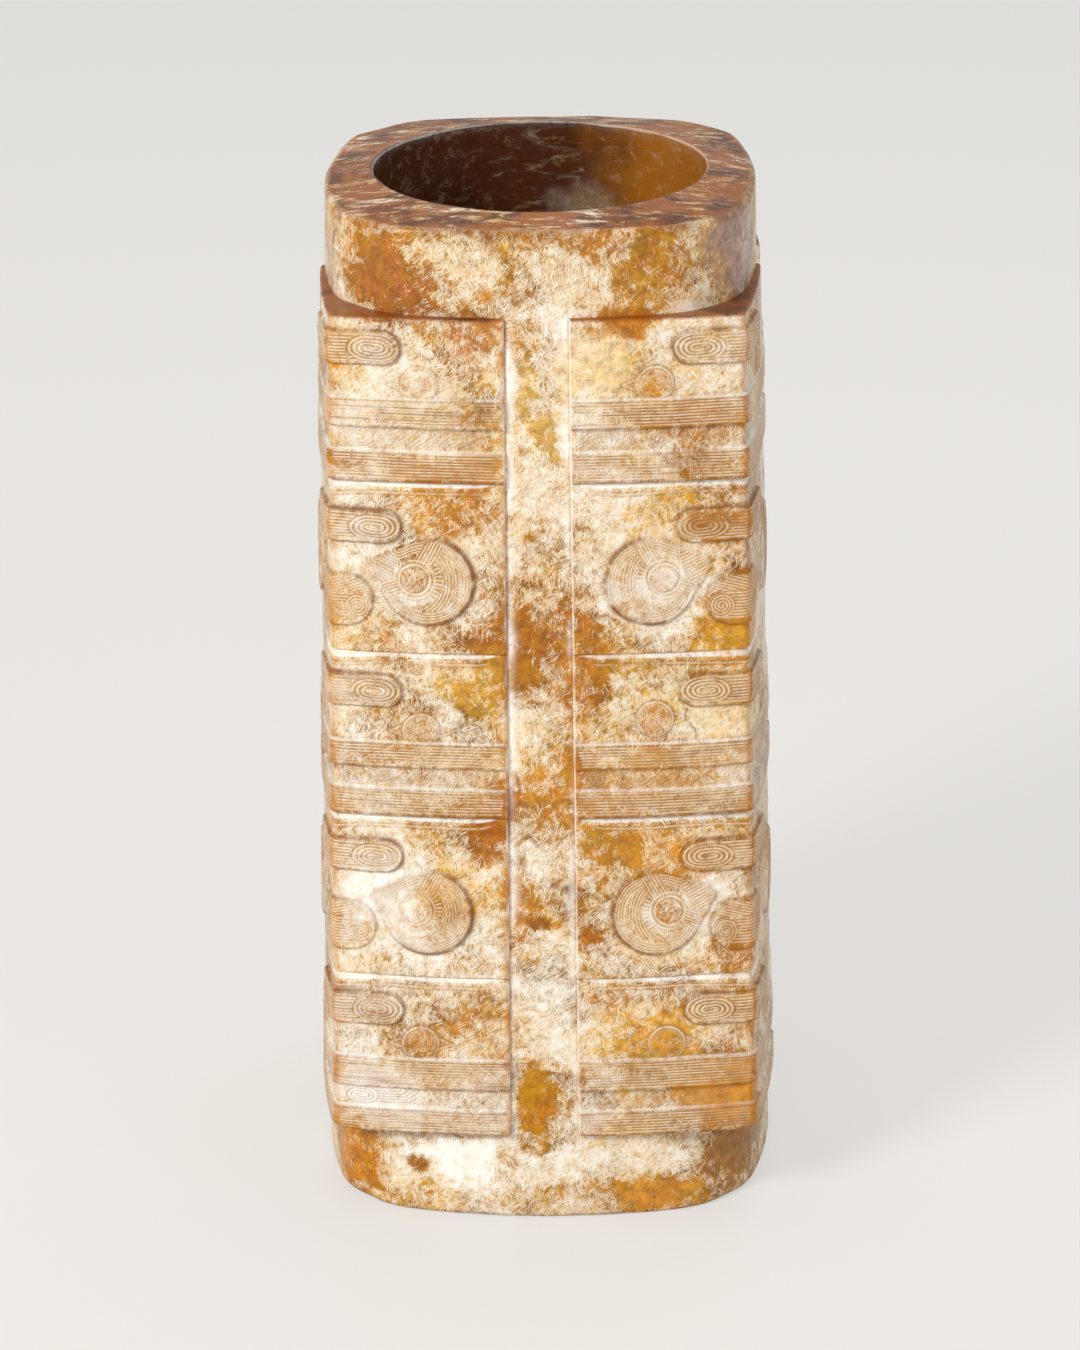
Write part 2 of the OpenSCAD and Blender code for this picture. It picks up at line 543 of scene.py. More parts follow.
@dataclass(frozen=True)
class MiddleStrip:
    """The recessed strip between the bands, with a spiral at each end and hatching between."""

    low: float
    height: float
    level: float = -0.22
    brown: float = 0.7
    tint: float = 0.1
    spiral_half_w: float = 3.3
    spiral_half_h: float = 1.65
    from_corner: float = 4.6
    from_channel: float = 5.2
    pitch: float = 0.52
    hatch_slope: float = 0.62
    hatch_half_w: float = 3.4

    def carve(self, face: Carving) -> None:
        """Lowers the strip and cuts its pattern."""
        mid = self.low + self.height / 2
        up = face.up - mid
        inside = self.height / 2 - np.abs(up)
        face.set_level(inside, self.level, shoulder=0.3, brown=0.25)
        clear = smooth((inside - 0.25) / 0.3)
        spirals = np.zeros_like(up)
        for centre in (self.from_corner, face.width - self.from_channel):
            x = face.across - centre
            ring = oval_turns(x, up, self.spiral_half_w, self.spiral_half_h)
            spiral = wound(ring, x, up, self.pitch)
            in_oval = smooth((self.spiral_half_h - ring) / 0.15 + 1)
            turns = in_oval * smooth(ring / 0.25)
            face.incise(to_line(spiral, self.pitch), turns, 0.1, brown=self.brown, tint=self.tint)
            spirals = np.maximum(spirals, in_oval)
        from_middle = np.abs(face.across - face.width / 2)
        from_end = face.width / 2 - from_middle
        hatch = smooth((self.hatch_half_w - from_middle + up) / 0.6)
        slanted = face.along * math.sin(self.hatch_slope) - up * math.cos(self.hatch_slope)
        bow = 0.05 * up * up
        face.incise(
            to_line(slanted + bow, self.pitch * 1.25), hatch * clear, 0.11, brown=self.brown, tint=self.tint
        )
        rest = (1 - hatch) * (1 - spirals) * clear * smooth((from_end - 1.2) / 0.6)
        face.incise(to_line(up, self.pitch), rest, 0.08, brown=self.brown, tint=self.tint)


@dataclass(frozen=True)
class LargeEye:
    """A large slanting eye, raised from the face and filled with fine curved lines."""

    pupil_from_corner: float = 14.4
    pupil_r: float = 2.65
    relief: float = 0.46
    round_shift: tuple[float, float] = (2.3, -0.4)
    round_r: float = 7.8
    tip_shift: tuple[float, float] = (-6.6, 2.4)
    tip_r: float = 1.5
    spiral_shift: tuple[float, float] = (7.6, -2.4)
    spiral_r: float = 1.5
    tick_reach: tuple[float, float] = (3.5, 4.8)
    tick_spread: float = 0.95
    tick_turn: float = 0.17
    bundle_turns: tuple[float, float] = (1.08, 3.55)
    pitch: float = 0.55

    def carve(self, face: Carving, up_to: float) -> None:
        """Raises the eye and cuts its pupil, its bundles of lines and its rim.

        Args:
            face: the faces being carved.
            up_to: height of the pupil above the tier's lower edge.
        """
        x = face.across - self.pupil_from_corner
        y = face.up - up_to
        inside = self.drop_inside(x, y)
        from_tip = smooth((x - self.tip_shift[0]) / 7.0 - 0.16 * np.maximum(y, 0))
        level = self.relief * (0.3 + 0.7 * from_tip)
        face.set_level(inside, level, shoulder=0.6, brown=0.25 + 0.75 * from_tip)
        towards_tip = -x - 3.6 + 0.25 * y
        channel_side = smooth((x - y * 0.5 + 2) / 6)
        rim = bell(inside - 0.1, 0.55) * (0.2 + 0.8 * channel_side)
        face.keep_most(edge=rim)

        ring = np.hypot(x, y)
        turn = np.arctan2(y, x)
        face.height += 0.22 * smooth(1 - ring / self.pupil_r)
        face.incise(np.abs(ring - self.pupil_r), np.ones_like(ring), depth=0.26, thick=0.2)
        face.incise(np.abs(ring - self.pupil_r - 0.75), smooth((x + 1.5) / 0.8), depth=0.12)
        white = smooth((ring - self.pupil_r - 0.2) / 0.3) * smooth((5.2 - ring) / 0.8) * smooth((x - y) / 4)
        face.keep_most(chalk=0.5 * white * np.clip(0.6 + face.uneven, 0, 1))
        pupil = smooth((self.pupil_r - ring) / 0.4)
        face.keep_most(amber=pupil * np.clip(0.2 + 0.6 * face.uneven, 0, 0.6))
        tick_start, tick_end = self.tick_reach
        ticks = smooth((ring - tick_start) / 0.2) * smooth((tick_end - ring) / 0.2)
        ticks = ticks * smooth((self.tick_spread - np.abs(turn)) / 0.1)
        face.incise(to_line(turn, self.tick_turn) * ring, ticks)

        outside_pupil = smooth((ring - self.pupil_r - 0.2) / 0.2)
        in_eye = smooth((inside - 0.55) / 0.2)
        taken = np.maximum(1 - smooth((ring - 4.9) / 0.2) * (1 - ticks), 0)
        upper_turn, lower_turn = self.bundle_turns
        upper = self.bundle(x, y, angle=upper_turn, half_w=1.7)
        lower = self.bundle(x, y, angle=lower_turn, half_w=1.5)
        for share, angle in ((upper, upper_turn), (lower, lower_turn)):
            side = x * math.sin(angle) - y * math.cos(angle)
            face.incise(to_line(side, self.pitch), share * outside_pupil * in_eye)
        no_bundle = (1 - upper) * (1 - lower)
        canthus = smooth((inside - 0.35) / 0.2) * smooth(towards_tip / 0.3) * (1 - lower)
        face.incise(to_line(y * 0.85 + 0.45 * x, self.pitch), canthus)
        band = smooth((inside - 0.5) / 0.15) * smooth((2.3 - inside) / 0.15) * (1 - canthus) * no_bundle
        face.incise(to_line(inside - 0.62, 0.5), band)
        centre = (x - self.spiral_shift[0], y - self.spiral_shift[1])
        curl = np.hypot(*centre)
        curl_turn = np.arctan2(centre[1], centre[0]) * 0.5 / (2 * math.pi)
        in_curl = smooth((self.spiral_r - curl) / 0.15 + 1) * smooth((inside - 0.8) / 0.2)
        face.incise(to_line(curl - curl_turn, 0.5), in_curl)
        arcs = smooth((inside - 2.4) / 0.2) * no_bundle * (1 - in_curl) * (1 - canthus) * (1 - taken)
        sweep = np.hypot(x + 1.2, y + 0.5)
        face.incise(to_line(sweep, self.pitch), arcs)

    def drop_inside(self, x: Array, y: Array) -> Array:
        """Distance inside the eye's outline, a large circle drawn out to a small one at its tip.

        Args:
            x: distance of each place from the pupil, towards the channel.
            y: the same, upwards.

        Returns:
            The distances, negative outside.
        """
        over = (self.tip_shift[0] - self.round_shift[0], self.tip_shift[1] - self.round_shift[1])
        reach = math.hypot(*over)
        ahead = ((x - self.round_shift[0]) * over[0] + (y - self.round_shift[1]) * over[1]) / reach
        side = np.abs((x - self.round_shift[0]) * over[1] - (y - self.round_shift[1]) * over[0]) / reach
        taper = (self.round_r - self.tip_r) / reach
        rise = math.sqrt(1 - taper * taper)
        along = ahead * rise - side * taper
        round_part = self.round_r - np.hypot(ahead, side)
        tip_part = self.tip_r - np.hypot(ahead - reach, side)
        flank = self.round_r - (side * rise + ahead * taper)
        return np.where(along < 0, round_part, np.where(along > reach * rise, tip_part, flank))

    @staticmethod
    def bundle(x: Array, y: Array, angle: float, half_w: float) -> Array:
        """How far a place lies in a straight bundle of lines that leaves the pupil."""
        ahead = x * math.cos(angle) + y * math.sin(angle)
        side = x * math.sin(angle) - y * math.cos(angle)
        return smooth((half_w - np.abs(side)) / 0.15) * smooth(ahead / 0.3)


@dataclass(frozen=True)
class Bridge:
    """The low lobe between two large eyes, folded round the corner."""

    length: float = 7.4
    low: float = 4.7
    height: float = 9.2
    relief: float = 0.26
    spiral_from_corner: float = 4.7
    spiral_up: float = 3.5
    spiral_r: float = 2.2
    pitch: float = 0.55

    def carve(self, face: Carving) -> None:
        """Raises the lobe and cuts its lines, its spiral and its wing."""
        up = face.up - self.low
        inside = bar_inside(face.across, up - self.height / 2, self.length, self.height / 2)
        face.set_level(inside, self.relief, shoulder=0.5, brown=0.6)
        x = face.across - self.spiral_from_corner
        y = up - self.spiral_up
        ring = np.hypot(x, y)
        spiral = wound(ring, x, y, self.pitch)
        in_ring = smooth((self.spiral_r - ring) / 0.15 + 1)
        clear = smooth((inside - 0.3) / 0.25)
        face.incise(to_line(spiral, self.pitch), in_ring * smooth(ring / 0.25) * clear)
        short = smooth(-x / 0.3) * smooth((2.6 - np.abs(y)) / 0.3) * (1 - in_ring)
        face.incise(to_line(y, self.pitch), short * clear)
        wing = smooth((y - 2.5) / 0.3) * (1 - in_ring)
        face.incise(to_line(up - 0.32 * face.across, self.pitch), wing * clear)


@dataclass(frozen=True)
class TierCut:
    """The notch under each tier: a lip that opens towards the corner and closes at the channel."""

    low_depth: float = 0.2
    corner_depth: float = 0.32
    low_height: float = 0.15
    full_height: float = 0.85
    corner_height: float = 0.55
    taper: float = 5.0
    notch: float = 0.22
    notch_reach: float = 1.5
    score_below: float = 0.95

    def carve(self, face: Carving, top: float) -> None:
        """Cuts the lip under the next tier and the fine scored line below it, with a painted highlight on the
        lip and a painted shadow line under the overhang.

        Args:
            face: the faces being carved.
            top: the tier's height.
        """
        share = smooth((face.width - 0.4 - face.across) / self.taper)
        lip = self.low_height + self.full_height * share * (1 + 0.16 * face.uneven)
        lip = lip + self.corner_height * bell(face.across, 5.0)
        depth = self.low_depth + self.corner_depth * share * np.clip(1.2 - face.across / face.width, 0, 1)
        depth = depth + self.notch * bell(face.across, self.notch_reach)
        below = top - face.up
        slope = np.clip(1 - below / lip, 0, 1)
        rounded = np.where(slope > 0, slope**0.85, 0)
        face.height -= depth * rounded
        on_lip = smooth(slope / 0.25)
        face.raised *= 1 - on_lip
        face.lined *= 1 - on_lip
        face.groove *= 1 - on_lip
        # Chalk white on the up-facing lip: painted highlight.
        face.keep_most(chalk=(0.72 + 0.28 * face.uneven) * on_lip)
        # A brown line just under the upper tier's overhang: painted shadow, kept free of chalk.
        face.edge = np.maximum(face.edge * (1 - on_lip), 0.9 * bell(below, 0.16))
        face.chalk *= 1 - bell(below, 0.14)
        scored = smooth((face.width - 2.0 - face.across) / 3)
        face.incise(np.abs(below - lip - self.score_below), 0.75 * scored, depth=0.08)


@dataclass(frozen=True)
class HealedCrack:
    """An old crack with brown sides, at one place of one block's face."""

    node: str = "tier_3_front_right"
    along_sign: float = -1.0
    course: tuple[tuple[float, float], ...] = (
        (13.2, 24.9),
        (12.3, 22.9),
        (12.1, 21.2),
        (10.9, 18.9),
        (10.2, 16.4),
        (8.6, 13.4),
    )

    def carve(self, face: Carving) -> None:
        """Opens the crack on the one face that has it."""
        gap = np.full_like(face.up, 9.0)
        jagged = face.across + 0.7 * face.uneven + 0.1 * np.sin(face.up * 5.3)
        for start, end in zip(self.course, self.course[1:]):
            gap = np.minimum(gap, to_segment(jagged, face.up, start, end))
        here = np.where(face.along * self.along_sign > 0, 1.0, 0.0)
        cut = bell(gap, 0.16) * here
        face.height -= 0.2 * cut
        face.groove *= 1 - cut
        face.lined *= 1 - cut
        face.keep_most(edge=0.8 * bell(gap, 0.24) * here)


class TierKind(Enum):
    """The two masks that take turns up the stone."""

    SMALL_EYES = "small eyes over two bands"
    LARGE_EYES = "large eyes beside a bridge"


@dataclass(frozen=True)
class EyeStray:
    """How far the hand strayed with one small eye: on which block and face, and by how much."""

    node: str
    along_sign: float
    across: float
    up: float


EYE_STRAYS: tuple[EyeStray, ...] = (
    EyeStray("tier_3_front_left", 1.0, 0.1, -1.0),
    EyeStray("tier_3_front_right", -1.0, 1.1, 1.3),
    EyeStray("tier_1_back_left", 1.0, 0.4, -0.4),
    EyeStray("tier_5_back_right", -1.0, -0.5, 0.3),
)


@dataclass(frozen=True)
class MaskPlan:
    """Heights of one tier's forms, as they were laid out by eye on each tier."""

    nose_drop: float
    lower_band_h: float = 0.0
    band_gap: float = 0.0
    upper_band_h: float = 0.0
    pupil_up: float = 0.0


MASK_PLANS: tuple[MaskPlan, ...] = (
    MaskPlan(3.4, 4.8, 3.8, 6.0),
    MaskPlan(4.6, pupil_up=12.7),
    MaskPlan(4.0, 5.0, 3.8, 4.8),
    MaskPlan(5.0, pupil_up=13.5),
    MaskPlan(2.3, 5.4, 4.0, 5.3),
)


@dataclass(frozen=True)
class Tier:
    """One tier of corner blocks: its place up the stone and the mask that it carries."""

    number: int
    low: float
    high: float
    is_top: bool
    eye_gap: float = 0.2
    warm_reach: float = 1.3

    @property
    def plan(self) -> MaskPlan:
        """The tier's own heights."""
        return MASK_PLANS[self.number - 1]

    @property
    def kind(self) -> TierKind:
        """Odd tiers have small eyes."""
        return TierKind.SMALL_EYES if self.number % 2 else TierKind.LARGE_EYES

    @property
    def height(self) -> float:
        """The tier's height."""
        return self.high - self.low

    def row_heights(self, fine: float, plain: float) -> Array:
        """Heights of the mesh's rows, fine where lines are cut.

        Args:
            fine: spacing where there are fine lines.
            plain: spacing elsewhere.

        Returns:
            Heights above the tier's lower edge, from 0 to the tier's height.
        """
        plan = self.plan
        lined = plan.lower_band_h + plan.band_gap + plan.upper_band_h
        if self.kind is TierKind.LARGE_EYES:
            lined, fine = self.height - plan.nose_drop, (fine + plain) / 2
        lower = np.arange(0, lined, fine)
        upper = np.linspace(lined, self.height, int((self.height - lined) / plain) + 2)
        return np.concatenate([lower, upper])

    def carve(self, face: Carving, node: str) -> None:
        """Carves everything that the tier's mask holds.

        Args:
            face: the faces being carved.
            node: which block they belong to.
        """
        nose, plan = NoseBar(), self.plan
        nose_top = self.height - plan.nose_drop
        nose.carve(face, nose_top)
        if self.kind is TierKind.SMALL_EYES:
            aside, upward = np.zeros_like(face.up), np.zeros_like(face.up)
            for stray in EYE_STRAYS:
                here = (stray.node == node) * np.where(face.along * stray.along_sign > 0, 1.0, 0.0)
                aside, upward = aside + stray.across * here, upward + stray.up * here
            eye = SmallEye()
            eye.carve(face, nose_top - nose.height - self.eye_gap - eye.radius, (aside, upward))
            middle = plan.lower_band_h
            Band(low=0.0, height=plan.lower_band_h).carve(face)
            Band(low=middle + plan.band_gap, height=plan.upper_band_h).carve(face)
            MiddleStrip(low=middle, height=plan.band_gap).carve(face)
        else:
            Bridge().carve(face)
            LargeEye().carve(face, plan.pupil_up)
        # Amber along the rounded corner: partly the stone's warm tone, partly painted shade where the corner
        # turns away.
        corner = bell(face.across, self.warm_reach)
        face.keep_most(amber=corner * (0.45 + 0.4 * face.raised))
        # At the channel edge of one face of each block, amber: painted shade on the edge turned from the
        # light; on the other face a chalk-white line: painted highlight.
        gap = face.width - face.across
        warm = np.clip(np.where(face.along > 0, 0.55, 0.1) + 0.6 * face.uneven, 0, 1)
        channel = bell(gap, 0.75 + 0.35 * face.uneven)
        face.keep_most(amber=0.95 * warm * channel)
        face.chalk = np.maximum(face.chalk * (1 - warm * channel), (1 - warm) * bell(gap, 0.2))
        if not self.is_top:
            TierCut().carve(face, self.height)


def seated(start: float, end: float, count: int) -> Array:
    """Levels between two joints; those next to a joint lie close to it, to keep the shading even."""
    close = math.copysign(CLOSE_ROW, end - start)
    return np.concatenate([[start], np.linspace(start + close, end - close, count - 2), [end]])


def skin_marks(points: Array) -> Array:
    """Empty marks for a grid of places."""
    return np.zeros(points.shape[:2] + (len(Mark),))


@dataclass(frozen=True)
class CornerBlock:
    """One raised block: two carved faces that meet at a corner of the stone."""

    tier: Tier
    corner: int
    name: str
    form: StoneForm
    noise: StoneNoise
    column_step: float = 0.165
    fine_row: float = 0.135
    plain_row: float = 0.17
    corner_r: float = 1.6
    channel_edge_r: float = 0.34
    rim_edge_r: float = 0.45
    foot_edge_r: float = 0.3
    ground: float = -0.14
    seat: float = 0.35
    shelf_rows: int = 7
    inner_rows: int = 3
    hand_drift: float = 0.11
    cap_share: float = 0.02

    def share_columns(self) -> Array:
        """Places of the columns, from one channel edge (1) over the corner (0) to the other (-1)."""
        width = float(self.form.corner_at(self.tier.low) - self.form.channel_half(self.tier.low))
        edge = np.array([0.0, 0.05, 0.11, 0.19, 0.28]) / width
        half = np.linspace(0.36 / width, 1.0, int(width / self.column_step))
        half = np.concatenate([edge, half])
        from_corner = 1 - half[::-1]
        return np.concatenate([from_corner[::-1], -from_corner[1:]])

    def outline(self, share: Array, z: Array, outward: Array) -> Array:
        """Places on the block's outside.

        Args:
            share: column place, from 1 over 0 to -1.
            z: heights.
            outward: how far each place stands out from the plain face.

        Returns:
            Places in the quarter where both coordinates are above 0.
        """
        form = self.form
        corner = form.corner_at(z)
        width = corner - form.channel_half(z)
        across = np.abs(share) * width
        centre_x = form.dist_at(z) - form.face_curve_r
        lean = math.pi / 4 - np.arcsin(corner / form.face_curve_r)
        round_reach = self.corner_r * np.tan(lean)
        side = corner - across
        tilt = np.arcsin(side / form.face_curve_r)
        flat_x = centre_x + (form.face_curve_r + outward) * np.cos(tilt)
        flat_y = (form.face_curve_r + outward) * np.sin(tilt)
        arc_middle = corner - self.corner_r / np.cos(lean) / math.sqrt(2)
        arc_turn = math.pi / 4 - lean * np.clip(across / round_reach, 0, 1)
        arc_x = arc_middle + (self.corner_r + outward) * np.cos(arc_turn)
        arc_y = arc_middle + (self.corner_r + outward) * np.sin(arc_turn)
        on_arc = across < round_reach
        x = np.where(on_arc, arc_x, flat_x)
        y = np.where(on_arc, arc_y, flat_y)
        swap = share < 0
        return np.stack([np.where(swap, y, x), np.where(swap, x, y), z + 0 * x], axis=-1)

    def turned(self, points: Array) -> Array:
        """Turns places from the first quarter to this block's corner."""
        x, y = points[..., 0], points[..., 1]
        for _ in range(self.corner):
            x, y = -y, x
        return np.stack([x, y, points[..., 2]], axis=-1)

    def plain_outside(self, share: Array, z: Array) -> Array:
        """Places on the uncarved outside of the block, where it stands on the stone."""
        return self.turned(self.outline(share, z, np.zeros_like(z)))

    def carved_face(self, share: Array, up: Array, z: Array) -> Carving:
        """Carves the block's mask over its grid.

        Args:
            share: column places.
            up: row heights above the tier's lower edge.
            z: row heights on the stone.

        Returns:
            The carved faces.
        """
        width = self.form.corner_at(z) - self.form.channel_half(z)
        across = np.abs(share) * width
        places = self.plain_outside(share, z)
        wear = smooth(0.95 + 0.8 * self.noise.rough(places + 57.0, 9.0, 4))
        wear = np.clip(wear * (1 + 0.35 * self.noise.at(places + 9.0, 0.8)), 0, 1)
        uneven = np.clip(self.noise.rough(places * (1.0, 1.0, 2.0) + 71.0, 5.0, 3), -1, 1)
        streaks = np.clip(1.5 * self.noise.rough(places * (0.2, 0.2, 2.0) + 15.0, 1.1, 2), -1, 1)
        sway = self.hand_drift * 1.6 * self.noise.rough(places + 23.0, 7.0, 2)
        held = smooth(across / 1.5) * smooth((width - across) / 1.5)
        return Carving(
            across=across + sway * held,
            up=up,
            along=-share * width,
            width=width,
            wear=wear,
            uneven=uneven,
            streaks=streaks,
        )

    def edge_drop(self, gap: Array, radius: Array) -> Array:
        """How far a rounded edge falls below the sharp one at a distance from it."""
        inside = np.clip(radius - gap, 0, radius)
        return radius - np.sqrt(np.maximum(radius**2 - inside**2, 0))

    def skin(self) -> StoneSkin:
        """Works out the block's closed skin."""
        columns = self.share_columns()
        rows = self.tier.row_heights(self.fine_row, self.plain_row)
        if self.tier.is_top:
            rounding = self.tier.height - np.array([0.3, 0.2, 0.12, 0.06, 0.02, 0.0])
            rows = np.concatenate([rows[rows < rounding[0] - 0.05], rounding])
        share, up = np.meshgrid(columns, rows, indexing="ij")
        z = self.tier.low + up
        face = self.carved_face(share, up, z)
        self.tier.carve(face, self.name)
        crack = HealedCrack()
        if crack.node == self.name:
            crack.carve(face)

        flat = self.plain_outside(share, z)
        noise = self.noise
        outward = face.height + self.ground * (1 - face.raised)
        outward += 0.06 * noise.rough(flat, 9.0, 2) + 0.018 * noise.at(flat + 5.0, 1.3)
        outward = np.minimum(outward, 0.33 + 0.6 * smooth((face.width - face.across) / 8 - 0.1))
        edge_r = self.channel_edge_r * (1.25 + 0.7 * noise.at(flat + 31.0, 3.0))
        chip = smooth(noise.at(flat + 77.0, 2.1) * 2.4 - 1.15) * 0.5
        gap = face.width * (1 - np.abs(share))
        outward -= self.edge_drop(gap, edge_r + chip)
        if self.tier.is_top:
            rim_r = self.rim_edge_r * (1.1 + 0.5 * noise.at(flat + 41.0, 4.0)) + chip
            outward -= self.edge_drop(self.tier.height - up, rim_r)
        if self.tier.number == 1:
            foot_r = self.foot_edge_r * (1.2 + 0.5 * noise.at(flat + 43.0, 4.0))
            foot_r = foot_r + 1.1 * bell(face.across, 1.6) + chip
            outward -= self.edge_drop(up, foot_r)
        else:
            outward -= self.edge_drop(up, np.full_like(up, 0.16) + 0.5 * chip)
        drift = self.hand_drift * noise.rough(flat + 13.0, 8.0, 2)
        drift *= smooth(up / 1.2) * smooth((self.tier.height - up) / 1.6)
        outer = self.outline(share, z + drift, outward)
        outer[..., 2] = z + drift
        return self.closed(columns, outer, face)

    def closed(self, columns: Array, outer: Array, face: Carving) -> StoneSkin:
        """Closes the carved outside with shelves and a back that is seated in the tube.

        Args:
            columns: column places.
            outer: the carved outside, in the first quarter.
            face: the carved faces.

        Returns:
            The skin, turned to its corner.
        """
        low, high = self.tier.low, self.tier.high

        def back(z: float) -> Array:
            """The row at a height where the block's back lies, inside the tube."""
            line = self.outline(columns, np.full_like(columns, z), np.zeros_like(columns))
            angle = np.arctan2(line[:, 1], line[:, 0])
            level = np.full_like(angle, z)
            return round_axis(self.form.tube_radius(angle, level) - self.seat, angle, level)

        steps = np.linspace(0, 1, self.shelf_rows + 2)[1:-1, None]
        upper, lower = outer[:, -1:, :], outer[:, :1, :]
        back_high, back_low = back(high)[:, None, :], back(low)[:, None, :]
        top_shelf = upper + (back_high - upper) * steps
        low_shelf = back_low + (lower - back_low) * steps
        levels = np.linspace(high, low, self.inner_rows)
        inner = np.stack([back(float(z)) for z in levels], axis=1)
        loop = np.concatenate([outer, top_shelf, inner, low_shelf], axis=1)
        count = outer.shape[1]
        marks = skin_marks(loop)
        for mark in (Mark.GROOVE, Mark.EDGE, Mark.RAISED, Mark.LINED, Mark.AMBER, Mark.CHALK):
            marks[:, :count, mark] = getattr(face, mark.name.lower())
        shelf_end = count + self.shelf_rows
        marks[:, count:shelf_end, Mark.SHELF] = 1.0
        # Brown on the block's back and underside: painted shade.
        marks[:, shelf_end:, Mark.EDGE] = 0.6
        if self.tier.is_top:
            marks[:, :count, Mark.SHELF] = smooth(1 - (self.tier.height - face.up) / 0.7)
        column_u = self.lengths(outer[:, 0, :], axis=0)
        row_v = self.loop_levels(loop)
        share = self.cap_share

        def bake(at_column: Array, at_row: Array, column: Array, row: Array) -> tuple[Array, Array]:
            across = column_u[at_column + column]
            return share + 0.002 + across * (0.996 - 2 * share), row_v[at_row + row]

        depth = np.concatenate([np.zeros(count), steps[:, 0], np.ones(self.inner_rows), 1 - steps[:, 0]])
        cap = np.stack([share * (1 - 0.96 * depth), row_v[:-1]], axis=-1)
        back_end = shelf_end + self.inner_rows
        cap[back_end:, 1] = row_v[0]
        cap[count:shelf_end, 1] = row_v[count - 1]
        cap[shelf_end:back_end, 1] = np.linspace(row_v[count - 1], row_v[0], self.inner_rows)
        return StoneSkin(
            points=self.turned(loop),
            marks=marks,
            bake=bake,
            around=False,
            flat_rows=(shelf_end, back_end),
            cap_bake=cap,
        )

    @staticmethod
    def lengths(line: Array, axis: int) -> Array:
        """Running length along a line of places, from 0 to 1."""
        steps = np.linalg.norm(np.diff(line, axis=axis), axis=-1)
        run = np.concatenate([[0.0], np.cumsum(steps)])
        return run / run[-1]

    def loop_levels(self, loop: Array) -> Array:
        """Bake heights of the loop's rows: the outside takes most of the map."""
        count = loop.shape[1] - 2 * self.shelf_rows - self.inner_rows
        outer = 0.004 + 0.84 * self.lengths(loop[0, :count, :], axis=0)
        rest = np.linspace(outer[-1], 0.996, loop.shape[1] - count + 2)[1:]
        return np.concatenate([outer, rest])

    def dress(self, finish: bpy.types.Material) -> bpy.types.Object:
        """Makes the block and ties it to its solid."""
        piece = self.skin().build(f"carved_{self.name}")
        piece.data.materials.append(finish)
        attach(piece, "root")
        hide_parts(self.name)
        return piece


@dataclass(frozen=True)
class BoredTube:
    """What the tube's zones share: the outer skin, the bore and how uneven they are."""

    form: StoneForm
    noise: StoneNoise
    swell: float = 0.05
    ripple: float = 0.03

    def outside(self, angle: Array, z: Array) -> Array:
        """Places on the tube's skin, with its slow unevenness."""
        radius = self.form.tube_radius(angle, z)
        places = round_axis(radius, angle, z)
        uneven = self.swell * self.noise.rough(places, 10.0, 2) + self.ripple * self.noise.at(places, 1.9)
        radius = radius + uneven - self.swell - self.ripple
        return round_axis(radius, angle, z)

    def bore_wall(self, angle: Array, z: Array, off: Array) -> Array:
        """Places on the bore's wall, moved away from the axis by an amount.

        Args:
            angle: directions from the axis.
            z: heights.
            off: how much farther out than the wall each place lies.

        Returns:
            The places.
        """
        start = round_axis(self.form.bore_r, angle, z)
        drilled = 0.03 * self.noise.at(start * np.array([0.05, 0.05, 1.0]), 1.1)
        radius = self.form.bore_r + off + 0.04 * self.noise.rough(start, 8.0, 2) + drilled
        return round_axis(radius, angle, z)


